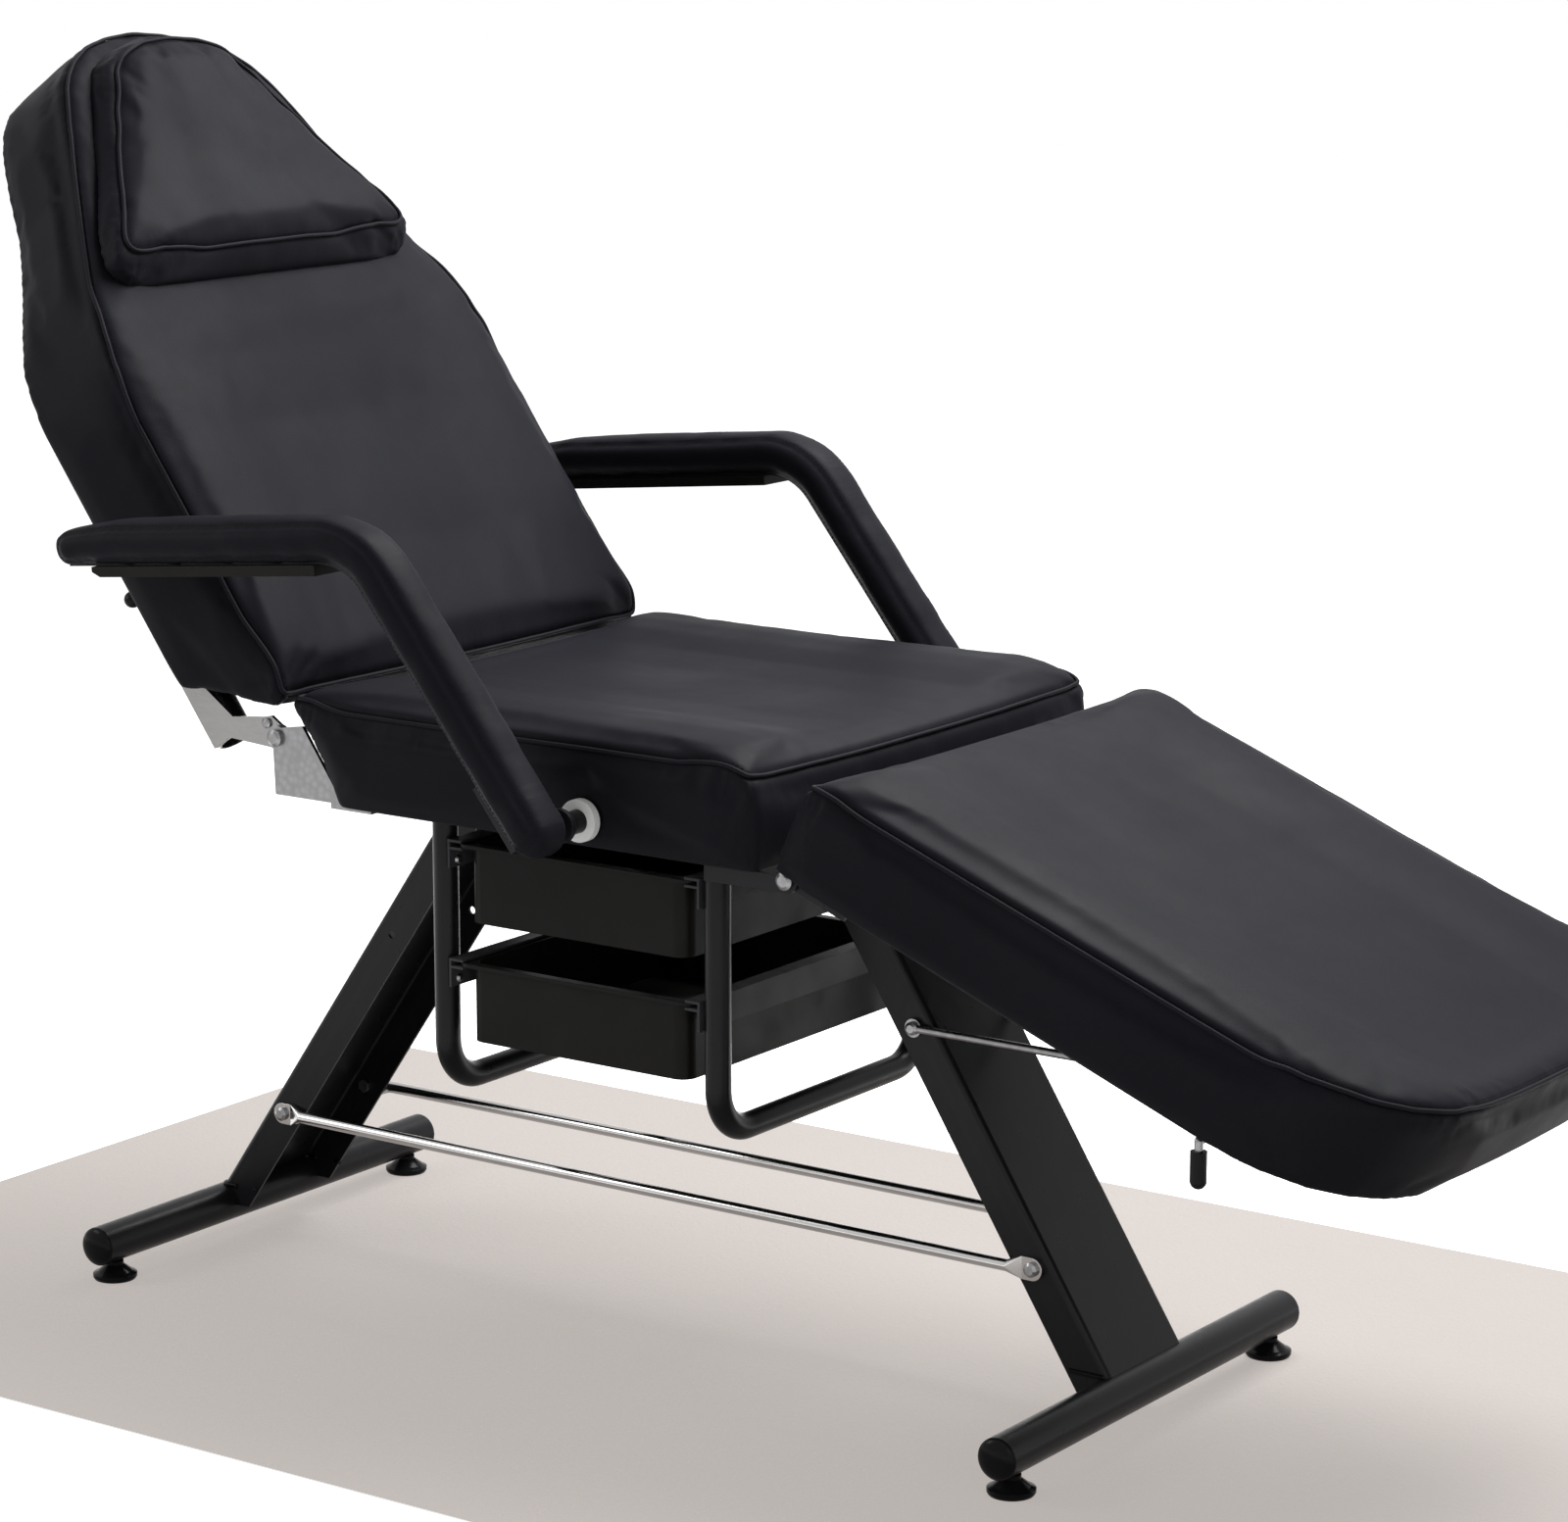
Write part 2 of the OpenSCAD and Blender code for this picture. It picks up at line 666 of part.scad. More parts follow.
module foot_tube() {
    half = foot_tube_length / 2 - cap_h;
    difference() {
        y_bar(foot_tube_d, -half, half);
        y_bar(foot_tube_d - 2 * foot_wall, -half - over, half + over);
        for (s = [-1, 1]) translate([0, s * level_foot_y, -foot_tube_d])
            cylinder(d = level_stud_d + 2 * run_gap, h = foot_tube_d);
    }
}

module rear_foot_tube() {
    color([0.07, 0.07, 0.07]) translate([rear_foot_x, 0, foot_centre]) foot_tube();
}

module front_foot_tube() {
    color([0.07, 0.07, 0.07]) translate([front_foot_x, 0, foot_centre]) foot_tube();
}

// End cap of a foot tube: a plug and a rounded face
module foot_cap() {
    r = foot_tube_d / 2;
    plug_r = r - foot_wall - run_gap;
    rotate([-90, 0, 0]) rotate_extrude() {
        translate([0, -cap_plug]) square([plug_r, cap_plug]);
        intersection() {
            translate([0, 0]) scale([1, cap_h / r]) circle(r);
            square([r, cap_h]);
        }
    }
}

module foot_tube_caps() {
    color([0.05, 0.05, 0.05]) for (x = [rear_foot_x, front_foot_x]) both_sides()
        translate([x, foot_tube_length / 2 - cap_h, foot_centre]) foot_cap();
}

// Flared pad with a short stud that screws into the foot tube
module level_foot() {
    pad_r = level_pad_d / 2;
    neck_r = 0.4 * pad_r;
    rim_h = 0.3 * level_foot_height;
    neck_h = 0.8 * level_foot_height;
    color([0.05, 0.05, 0.05]) rotate_extrude() {
        polygon([[0, 0], [0.94 * pad_r, 0], [pad_r, 0.4 * rim_h], [pad_r, rim_h], [0.8 * pad_r, 1.4 * rim_h],
            [neck_r, neck_h], [neck_r, level_foot_height - face_gap], [0, level_foot_height - face_gap]]);
        square([level_stud_d / 2, foot_centre]);
    }
}

module level_foot_rear_near() {
    translate([rear_foot_x, -level_foot_y, 0]) level_foot();
}

module level_foot_rear_far() {
    translate([rear_foot_x, level_foot_y, 0]) level_foot();
}

module level_foot_front_near() {
    translate([front_foot_x, -level_foot_y, 0]) level_foot();
}

module level_foot_front_far() {
    translate([front_foot_x, level_foot_y, 0]) level_foot();
}

// Tie rod on the far side: a rod whose ends are beaten flat and bolted to the flanges
module tie_rod() {
    inner = leg_width / 2 + washer_gap;
    line = inner + tie_rod_d / 2;
    for (end = [[tie_rear_x, 1], [tie_front_x, -1]]) {
        difference() {
            translate([end[0], 0, tie_rod_height]) {
                y_bar(2 * tie_eye_r, inner, inner + tie_eye_thick);
                box([min(0, end[1] * tie_eye_r), inner, -tie_eye_r],
                    [max(0, end[1] * tie_eye_r + run_gap), inner + tie_eye_thick, tie_eye_r]);
            }
            translate([end[0], 0, tie_rod_height]) y_bar(tie_bolt_d + 2 * run_gap, 0, leg_width);
        }
        hull() {
            translate([end[0] + end[1] * tie_eye_r, inner, tie_rod_height - tie_eye_r])
                cube([run_gap, tie_eye_thick, 2 * tie_eye_r]);
            translate([end[0] + end[1] * tie_taper, line, tie_rod_height]) rotate([0, 90, 0])
                cylinder(d = tie_rod_d, h = run_gap, $fn = 32);
        }
    }
    translate([tie_rear_x + tie_taper, line, tie_rod_height]) rotate([0, 90, 0])
        cylinder(d = tie_rod_d, h = tie_front_x - tie_rear_x - 2 * tie_taper + run_gap);
}

module tie_rod_near() {
    color([0.8, 0.8, 0.82]) mirror([0, 1, 0]) tie_rod();
}

module tie_rod_far() {
    color([0.8, 0.8, 0.82]) tie_rod();
}

// Bolt along +Y with a domed head outside and a nut inside, between the faces y1 and y2
module y_bolt(d, y1, y2, head_d, head_h, nut_thick) {
    y_bar(d, y1 - nut_thick, y2);
    translate([0, y2, 0]) rotate([-90, 0, 0]) {
        cylinder(d = head_d, h = 0.6 * head_h);
        translate([0, 0, 0.6 * head_h]) cylinder(d1 = head_d, d2 = 0.6 * head_d, h = 0.4 * head_h);
    }
    translate([0, y1, 0]) rotate([90, 30, 0]) cylinder(d = head_d, h = nut_thick, $fn = 6);
}

module tie_rod_bolts() {
    outer = leg_width / 2 + washer_gap + tie_eye_thick;
    color([0.75, 0.75, 0.77]) for (x = [tie_rear_x, tie_front_x]) both_sides()
        translate([x, 0, tie_rod_height])
            y_bolt(tie_bolt_d, leg_width / 2 - leg_wall, outer, 1.8 * tie_bolt_d, nut_h, nut_h);
}

// Seat frame

module rect_tube(length) {
    difference() {
        cube([length, frame_tube_w, frame_tube_h]);
        translate([-over, frame_wall, frame_wall])
            cube([length + 2 * over, frame_tube_w - 2 * frame_wall, frame_tube_h - 2 * frame_wall]);
    }
}

// A rectangular tube across the bed, from -y to +y, centred on x
module cross_tube(x, y) {
    translate([x + frame_tube_w / 2, -y, frame_under]) rotate([0, 0, 90]) rect_tube(2 * y);
}

module seat_side_rails() {
    from = rear_cross_x + frame_tube_w / 2;
    to = front_cross_x - frame_tube_w / 2;
    color([0.08, 0.08, 0.08]) both_sides()
        translate([from, rail_y - frame_tube_w / 2, frame_under]) rect_tube(to - from);
}

module seat_cross_tubes() {
    color([0.08, 0.08, 0.08]) {
        cross_tube(rear_cross_x, rail_y + frame_tube_w / 2);
        cross_tube(leg_cross_x, rail_y - frame_tube_w / 2);
        cross_tube(front_cross_x, rail_y + frame_tube_w / 2);
    }
}

// Tray frames: a tube bent to a U that hangs from the side rails

module u_tube(d) {
    side = rail_y;
    bend = tray_frame_bend;
    low = tray_frame_height;
    both_sides() {
        translate([0, side, low + bend]) cylinder(d = d, h = frame_under - low - bend);
        translate([0, side - bend, low + bend]) rotate([0, 90, 0]) rotate_extrude(angle = 90)
            translate([bend, 0]) circle(d = d);
    }
    translate([0, 0, low]) y_bar(d, -side + bend, side - bend);
}

module tray_frame() {
    inner_d = tray_tube_d - 2 * tray_tube_wall;
    difference() {
        u_tube(tray_tube_d);
        u_tube(inner_d);
        both_sides() translate([0, rail_y, 0]) for (top = [upper_tray_top, lower_tray_top])
            translate([0, 0, top - screw_drop]) rotate([0, 90, 0])
                cylinder(d = screw_d + 2 * run_gap, h = tray_tube_d);
    }
}

module rear_tray_frame() {
    color([0.07, 0.07, 0.07]) translate([tray_rear_x, 0, 0]) tray_frame();
}

module front_tray_frame() {
    color([0.07, 0.07, 0.07]) translate([tray_front_x, 0, 0]) mirror([1, 0, 0]) tray_frame();
}

// Runner on the rear tray frame: a slot for the tray's rim above a skirt that takes the screws
runner_x = tray_rear_x + tray_tube_d / 2;
runner_half = rail_y + tray_tube_d / 2;

module runner(top) {
    low = top - tray_rim_thick - runner_gap;
    difference() {
        union() {
            box([runner_x, -runner_half, top - runner_skirt],
                [runner_x + runner_thick, runner_half, top + runner_gap + runner_thick]);
            box([runner_x, -runner_half, low - runner_thick], [runner_x + runner_leg_w, runner_half, low]);
            box([runner_x, -runner_half, top + runner_gap],
                [runner_x + runner_leg_w, runner_half, top + runner_gap + runner_thick]);
        }
        both_sides() translate([runner_x - over, rail_y, top - screw_drop]) rotate([0, 90, 0])
            cylinder(d = screw_d + 2 * run_gap, h = runner_thick + 2 * over);
    }
}

module front_and_rear() {
    children();
    translate([2 * tray_mid_x, 0, 0]) mirror([1, 0, 0]) children();
}

module upper_tray_runners() {
    color([0.2, 0.2, 0.2]) front_and_rear() runner(upper_tray_top);
}

module lower_tray_runners() {
    color([0.2, 0.2, 0.2]) front_and_rear() runner(lower_tray_top);
}

module runner_screws() {
    color([0.8, 0.8, 0.8]) front_and_rear() both_sides() for (top = [upper_tray_top, lower_tray_top])
        translate([runner_x, rail_y, top - screw_drop]) rotate([0, 90, 0]) {
            translate([0, 0, -2 * tray_tube_wall])
                cylinder(d = screw_d, h = 2 * tray_tube_wall + runner_thick);
            translate([0, 0, runner_thick])
                cylinder(d1 = screw_head_d, d2 = 0.6 * screw_head_d, h = screw_head_h);
        }
}

// Tray with a flat rim that hangs in the runners
module tray(top) {
    low = top - tray_depth;
    translate([tray_mid_x, 0, 0]) difference() {
        union() {
            translate([0, 0, low]) linear_extrude(tray_depth)
                rounded_rect(tray_width, tray_length, tray_corner_r);
            translate([0, 0, top - tray_rim_thick]) linear_extrude(tray_rim_thick)
                rounded_rect(tray_width + 2 * tray_rim_w, tray_length + 2 * tray_rim_end, tray_corner_r);
        }
        translate([0, 0, low + tray_wall]) linear_extrude(tray_depth) rounded_rect(
            tray_width - 2 * tray_wall, tray_length - 2 * tray_wall, tray_corner_r - tray_wall
        );
    }
}

module upper_tray() {
    color([0.1, 0.1, 0.1]) tray(upper_tray_top);
}

module lower_tray() {
    color([0.1, 0.1, 0.1]) tray(lower_tray_top);
}

// Hinges

// Place of the seat's slanted rear face at a height
function seat_rear_x(z) =
    seat_undercut - (seat_undercut + seat_top_behind) * (z - seat_under) / cushion_thick;

// Plate that stands up to the back's hinge, on a foot that runs under the seat to the side rail
hinge_foot_w = 50;
module back_hinge_plate() {
    low = seat_under - plate_thick;
    foot_from = rear_cross_x - frame_tube_w / 2;
    top = back_hinge[2] + 1.2 * eye_r;
    rear_low = seat_under + 0.35 * plate_thick;
    color([0.78, 0.79, 0.8]) {
        y_plate(plate_inner, plate_outer) difference() {
            union() {
                translate([back_hinge[0], back_hinge[2]]) circle(eye_r);
                polygon([
                    [foot_from + hinge_foot_w, low],
                    [foot_from + hinge_foot_w, seat_under],
                    [seat_rear_x(seat_under) - 2 * soft_gap, seat_under],
                    [seat_rear_x(top) - 3 * soft_gap, top],
                    [back_hinge[0] + 0.5 * eye_r, back_hinge[2] + 0.85 * eye_r],
                    [back_hinge[0] - 0.4 * eye_r, back_hinge[2]],
                    [back_hinge[0] - 0.2 * eye_r, rear_low],
                    [foot_from, rear_low],
                    [foot_from, low]
                ]);
            }
            translate([back_hinge[0], back_hinge[2]]) circle(d = hinge_bolt_d + 2 * run_gap);
        }
        box([foot_from, rail_y + frame_tube_w / 2, low], [foot_from + hinge_foot_w, plate_outer, seat_under]);
    }
}

module back_hinge_plate_near() {
    mirror([0, 1, 0]) back_hinge_plate();
}

module back_hinge_plate_far() {
    back_hinge_plate();
}

// Plate that reaches forward to the leg rest's hinge, on a foot that runs to the side rail
module leg_hinge_plate() {
    low = seat_under - plate_thick;
    foot_to = front_cross_x + frame_tube_w / 2;
    color([0.78, 0.79, 0.8]) {
        y_plate(plate_inner, plate_outer) difference() {
            union() {
                translate([leg_hinge[0], leg_hinge[2]]) circle(eye_r);
                translate([foot_to - hinge_foot_w, leg_hinge[2] - eye_r])
                    square([leg_hinge[0] - foot_to + hinge_foot_w, seat_under - leg_hinge[2] + eye_r]);
            }
            translate([leg_hinge[0], leg_hinge[2]]) circle(d = hinge_bolt_d + 2 * run_gap);
        }
        box([foot_to - hinge_foot_w, rail_y + frame_tube_w / 2, low], [foot_to, plate_outer, seat_under]);
    }
}

module leg_hinge_plate_near() {
    mirror([0, 1, 0]) leg_hinge_plate();
}

module leg_hinge_plate_far() {
    leg_hinge_plate();
}

module hinge_bolts() {
    color([0.8, 0.8, 0.82]) for (at = [back_hinge, leg_hinge]) both_sides() translate(at)
        y_bolt(hinge_bolt_d, tab_inner - face_gap, plate_outer, bolt_head_d, bolt_head_h, bolt_head_h);
}

// Back frame, all in the back's own frame with its hinge at the origin

module back_tube() {
    along = [-tube_foot - back_tube_length, back_tube_pitch / 2, tube_line];
    color([0.8, 0.8, 0.82]) on_back() {
        difference() {
            union() {
                translate(along) rotate([0, 90, 0]) cylinder(d = back_tube_d, h = back_tube_length);
                box([-3 * back_tube_d, tab_inner - tube_wall, tube_line - 0.3 * back_tube_d],
                    [-tube_foot, tab_inner, tube_line + 0.3 * back_tube_d]);
            }
            translate(along - [over, 0, 0]) rotate([0, 90, 0])
                cylinder(d = back_tube_d - 2 * tube_wall, h = back_tube_length + 2 * over);
        }
        y_plate(tab_inner, tab_outer) difference() {
            union() {
                circle(eye_r);
                polygon([
                    [-3 * back_tube_d, tube_line + 0.3 * back_tube_d],
                    [-2.2 * back_tube_d, back_rear - 0.1 * back_tube_d],
                    [-1.2 * back_tube_d, back_rear + 0.25 * back_tube_d],
                    [-2.2 * eye_r, -0.6 * eye_r],
                    [-1.8 * eye_r, 0.3 * eye_r],
                    [-0.5 * eye_r, 0.8 * eye_r],
                    [0.8 * eye_r, -0.6 * eye_r],
                    [-tube_foot, tube_line + 0.3 * back_tube_d],
                    [-tube_foot, tube_line - 0.3 * back_tube_d],
                    [-3 * back_tube_d, tube_line - 0.3 * back_tube_d]
                ]);
            }
            circle(d = hinge_bolt_d + 2 * run_gap);
            translate(tab_bolt_at) circle(d = tab_bolt_d + 2 * run_gap);
        }
    }
}

module back_tube_near() {
    mirror([0, 1, 0]) back_tube();
}

module back_tube_far() {
    back_tube();
}

// Short bolts through the hinge tabs, beside the hinge
tab_bolt_d = 6;
tab_bolt_at = [-18.4, -4.9];
module back_tab_bolts() {
    color([0.8, 0.8, 0.82]) on_back() both_sides() translate([tab_bolt_at[0], 0, tab_bolt_at[1]])
        y_bolt(tab_bolt_d, tab_inner, tab_outer, 1.7 * tab_bolt_d, 0.6 * tab_bolt_d, 0.6 * tab_bolt_d);
}

// Clip that holds a tube to the board
module tube_clip() {
    r = back_tube_d / 2;
    rotate([0, 90, 0]) translate([0, 0, -clip_width / 2]) linear_extrude(clip_width) difference() {
        union() {
            circle(r + clip_thick);
            translate([-r, -r - clip_foot]) square([clip_thick, 2 * r + clip_foot]);
        }
        circle(r);
        translate([-2 * r, -0.7 * r]) square([1.5 * r, 1.4 * r]);
        translate([-2 * r, -2 * r]) square([r, 4 * r]);
    }
}

module back_tube_clips() {
    color([0.7, 0.7, 0.72]) on_back() both_sides() for (k = clip_shares)
        translate([-tube_foot - back_tube_length * k - clip_width, back_tube_pitch / 2, tube_line])
            tube_clip();
}

// A bar between the tubes, coped to fit them
module back_bar(up) {
    reach = back_tube_pitch / 2;
    difference() {
        translate([-up, 0, tube_line]) y_bar(bar_d, -reach, reach);
        both_sides() translate([-up - back_tube_d, reach, tube_line]) rotate([0, 90, 0])
            cylinder(d = back_tube_d, h = 2 * back_tube_d);
    }
}

module back_lower_crossbar() {
    color([0.08, 0.08, 0.08]) on_back() back_bar(lower_bar_up);
}

// Bar with the two lugs that carry the release shaft
lug_places = [-0.86, 0.36];
module back_release_crossbar() {
    color([0.08, 0.08, 0.08]) on_back() difference() {
        union() {
            back_bar(release_up);
            for (k = lug_places) translate([-release_up, k * back_tube_pitch / 2, 0])
                y_plate(-lug_thick / 2, lug_thick / 2) {
                    translate([0, shaft_line]) circle(lug_half_w);
                    translate([-lug_half_w, shaft_line]) square([2 * lug_half_w, tube_line - shaft_line]);
                }
        }
        translate([-release_up, 0, shaft_line])
            y_bar(shaft_d + 2 * run_gap, -back_tube_pitch, back_tube_pitch);
    }
}

// Release shaft with its crank and the pawl plate's collar
shaft_outer_y = back_tube_pitch / 2 - 0.5 * knob_d;
module release_shaft() {
    color([0.75, 0.75, 0.77]) on_back() translate([-release_up, 0, shaft_line]) {
        y_bar(shaft_d, -shaft_outer_y, sector_y + 2 * sector_thick);
        y_plate(-shaft_outer_y, -shaft_outer_y + crank_thick) {
            circle(0.8 * shaft_d);
            translate([-crank_length, -0.4 * shaft_d]) square([crank_length, 0.8 * shaft_d]);
            translate([-crank_length, 0]) circle(0.4 * shaft_d);
        }
    }
}

module release_knob() {
    color([0.04, 0.04, 0.04]) on_back() translate([-release_up - crank_length, 0, shaft_line]) {
        translate([0, -shaft_outer_y - 0.7 * knob_d, 0]) sphere(d = knob_d);
        y_bar(0.5 * knob_d, -shaft_outer_y - 0.7 * knob_d, -shaft_outer_y);
    }
}

// Pawl: an arm from the shaft to a tooth just outside the sector
module release_pawl() {
    tip_r = sector_r + pawl_gap;
    root = (sector_r + pawl_out) * [cos(pawl_local), sin(pawl_local)];
    tip = tip_r * [cos(pawl_local), sin(pawl_local)];
    shaft = [-release_up, shaft_line];
    dir = (shaft - root) / norm(shaft - root);
    side = pawl_w / 2 * [dir[1], -dir[0]];
    color([0.75, 0.75, 0.77]) on_back()
        y_plate(sector_y - sector_thick / 2, sector_y + sector_thick / 2) difference() {
            union() {
                translate(shaft) circle(1.1 * shaft_d);
                translate(root) circle(pawl_w / 2);
                polygon([root + side, shaft + side, shaft - side, root - side]);
                polygon([root + side, tip, root - side]);
            }
            translate(shaft) circle(d = shaft_d);
        }
}

// Toothed sector on the rear cross tube. Angles are counted from +X towards +Z, seen from the near side.
// Its rear end is cut level, so that it stays clear of the back when that lies flat
module ratchet_sector() {
    rear_face = rear_cross_x - frame_tube_w / 2 - back_hinge[0];
    low = frame_under - back_hinge[2];
    inner = sector_r - sector_band;
    steps = floor((sector_to_angle - sector_from_angle) / sector_tooth_angle);
    rim = [for (i = [0 : steps - 1]) let (a = sector_from_angle + i * sector_tooth_angle) each [
        sector_r * [cos(a), sin(a)],
        sector_r * [cos(a + 0.75 * sector_tooth_angle), sin(a + 0.75 * sector_tooth_angle)],
        (sector_r - sector_tooth) * [cos(a + 0.9 * sector_tooth_angle), sin(a + 0.9 * sector_tooth_angle)]
    ]];
    bore = [for (i = [steps : -1 : 2])
        let (a = sector_from_angle + i * sector_tooth_angle) inner * [cos(a), sin(a)]];
    color([0.78, 0.79, 0.8]) translate(back_hinge)
        y_plate(sector_y - sector_thick / 2, sector_y + sector_thick / 2) polygon(concat(
            rim,
            [[0.5 * rear_face, low - 2 * frame_tube_h],
                [rear_face + 0.8 * frame_tube_w, low - 0.6 * frame_tube_h],
                [rear_face + 0.8 * frame_tube_w, low], [rear_face, low],
                [rear_face, low + 0.9 * frame_tube_h], [0.5 * rear_face, low - 0.6 * frame_tube_h]],
            bore
        ));
}

// Leg rest frame, in the leg rest's own frame with its hinge at the origin

leg_rail_w = 30;
leg_rail_from = 16;
leg_rail_to_share = 0.85;
module leg_rail() {
    length = leg_rail_to_share * leg_length - leg_rail_from;
    inner = rail_y - leg_rail_w / 2;
    low = leg_hinge_drop - leg_rail_depth;
    color([0.08, 0.08, 0.08]) on_leg() {
        difference() {
            translate([leg_rail_from, inner, low]) cube([length, leg_rail_w, leg_rail_depth]);
            translate([leg_rail_from - over, inner + frame_wall, low + frame_wall])
                cube([length + 2 * over, leg_rail_w - 2 * frame_wall, leg_rail_depth - 2 * frame_wall]);
        }
        y_plate(tab_inner, tab_outer) difference() {
            union() {
                circle(eye_r);
                translate([0, low + 0.3 * leg_rail_depth])
                    square([leg_rail_from + hinge_foot_w, 0.7 * leg_rail_depth]);
            }
            circle(d = hinge_bolt_d + 2 * run_gap);
        }
        box([leg_rail_from, inner + leg_rail_w - frame_wall, leg_hinge_drop - plate_thick],
            [leg_rail_from + hinge_foot_w, tab_outer, leg_hinge_drop]);
    }
}

module leg_rail_near() {
    mirror([0, 1, 0]) leg_rail();
}

module leg_rail_far() {
    leg_rail();
}

// Racks under the leg board: the prop's rod takes hold of the teeth
module leg_racks() {
    from = rod_along - rack_back;
    to = rod_along + rack_ahead;
    low = leg_hinge_drop - rack_depth;
    teeth = floor((to - from) / rack_tooth_pitch);
    comb = [for (i = [0 : teeth - 1]) let (x = from + i * rack_tooth_pitch) each [
        [x, low + rack_tooth], [x + 0.15 * rack_tooth_pitch, low], [x + 0.6 * rack_tooth_pitch, low],
        [x + 0.9 * rack_tooth_pitch, low + rack_tooth]
    ]];
    color([0.75, 0.75, 0.77]) on_leg() both_sides() {
        y_plate(rack_y, rack_y + rack_thick)
            polygon(concat([[from, leg_hinge_drop]], comb, [[to, low + rack_tooth], [to, leg_hinge_drop]]));
        box([from, rack_y - rack_flange + rack_thick, leg_hinge_drop - rack_flange_thick],
            [to, rack_y + rack_thick, leg_hinge_drop]);
    }
}

// Prop: two side rods hinged on the front leg, a cross rod under the racks and a handle
module leg_prop() {
    inner = leg_width / 2 + washer_gap;
    color([0.8, 0.8, 0.82]) {
        both_sides() {
            translate([prop_pivot_x, 0, prop_height]) difference() {
                y_bar(2 * prop_eye_r, inner, inner + prop_eye_thick);
                y_bar(prop_bolt_d + 2 * run_gap, 0, leg_width);
            }
            difference() {
                translate([prop_pivot_x, prop_side_y, prop_height]) rotate([0, 90, 0])
                    cylinder(d = prop_rod_d, h = prop_end_x - prop_pivot_x);
                translate([prop_pivot_x, 0, prop_height]) y_bar(1.7 * prop_bolt_d, 0, 2 * prop_side_y);
            }
        }
        translate([prop_end_x, 0, prop_height]) {
            y_bar(prop_rod_d, -prop_grip_y, prop_side_y);
            translate([0, prop_side_y, 0]) sphere(d = prop_rod_d);
            translate([0, -prop_grip_y, 0]) sphere(d = prop_rod_d);
            translate([0, -prop_grip_y, -prop_drop - grip_length / 2])
                cylinder(d = prop_rod_d, h = prop_drop + grip_length / 2);
        }
    }
}

module prop_grip() {
    color([0.04, 0.04, 0.04]) translate([prop_end_x, -prop_grip_y, prop_height - prop_drop - grip_length])
        difference() {
            union() {
                translate([0, 0, grip_d / 2]) cylinder(d = grip_d, h = grip_length - grip_d / 2);
                translate([0, 0, grip_d / 2]) sphere(d = grip_d);
            }
            translate([0, 0, grip_length / 2]) cylinder(d = prop_rod_d, h = grip_length);
        }
}

module prop_bolts() {
    inner = leg_width / 2 - leg_wall;
    outer = leg_width / 2 + washer_gap + prop_eye_thick;
    color([0.8, 0.8, 0.82]) both_sides() translate([prop_pivot_x, 0, prop_height])
        y_bolt(prop_bolt_d, inner, outer + washer_gap, 1.6 * prop_bolt_d, nut_h, nut_h);
}

// Arms: the middle line of an arm runs from its rear tip to the corner and down to the hinge

arm_turn = arm_rise + arm_lean;
arm_cut = arm_bend * tan(arm_turn / 2);
arm_steps = 8;
arm_nose_share = 0.16;

// Middle line moved outwards by a distance, as points [x, z]
function arm_line(out) =
    let (
        c = [arm_corner[0], arm_corner[2]],
        top_dir = [-cos(arm_rise), -sin(arm_rise)],
        strut_dir = [cos(arm_lean), -sin(arm_lean)],
        top_out = [-sin(arm_rise), cos(arm_rise)],
        centre = c + top_dir * arm_cut - top_out * arm_bend,
        strut_out = [sin(arm_lean), cos(arm_lean)],
        foot = [arm_hinge[0], arm_hinge[2]] + strut_dir * arm_tail
    )
    concat(
        [for (share = [1, 1 - arm_nose_share])
            c + top_dir * (arm_top_length * share - pad_round) + top_out * out],
        [for (i = [0 : arm_steps]) let (a = 90 + arm_rise - arm_turn * i / arm_steps)
            centre + (arm_bend + out) * [cos(a), sin(a)]],
        [foot + strut_out * out]
    );

// Band along the arm between two distances from its middle line
module arm_band(low, high) {
    outer = arm_line(high);
    inner = arm_line(low);
    n = len(inner);
    polygon(concat(outer, [for (i = [n - 1 : -1 : 0]) inner[i]]));
}

arm_low = -arm_thick / 2;

// Steel strip let into the underside of the pad, with the spigot that turns in the seat
module arm_frame() {
    color([0.08, 0.08, 0.08]) {
        y_plate(arm_side - strip_w / 2, arm_side + strip_w / 2)
            arm_band(arm_low, arm_low + strip_thick);
        translate([arm_hinge[0], 0, arm_hinge[2]])
            y_bar(spigot_d, half_w - socket_length + soft_gap, arm_side - arm_pad_w / 2 - soft_gap);
        y_plate(arm_side - arm_pad_w / 2 - soft_gap - strip_thick, arm_side - arm_pad_w / 2 - soft_gap)
            arm_lug();
        y_plate(arm_side - arm_pad_w / 2 - soft_gap - strip_thick, arm_side + strip_w / 2) arm_lug_foot();
    }
}

// Lug that joins the spigot to the strip, beside the pad
arm_lug_length = 70;
arm_lug_up = arm_lug_length * [-cos(arm_lean), sin(arm_lean)];
function arm_foot(out) = let (line = arm_line(out)) line[len(line) - 1];

module arm_lug() {
    hinge = [arm_hinge[0], arm_hinge[2]];
    out = spigot_d / 2 * [sin(arm_lean), cos(arm_lean)];
    translate(hinge) circle(spigot_d / 2 + strip_thick);
    polygon([arm_foot(arm_low - strip_thick) + arm_lug_up, arm_foot(arm_low - strip_thick),
        hinge - arm_lug_up * 0.1 + out, hinge + out, arm_foot(arm_low) + arm_lug_up]);
}

// Foot of the lug, folded outwards under the pad to the strip
module arm_lug_foot() {
    polygon([arm_foot(arm_low - strip_thick) + arm_lug_up, arm_foot(arm_low - strip_thick),
        arm_foot(arm_low), arm_foot(arm_low) + arm_lug_up]);
}

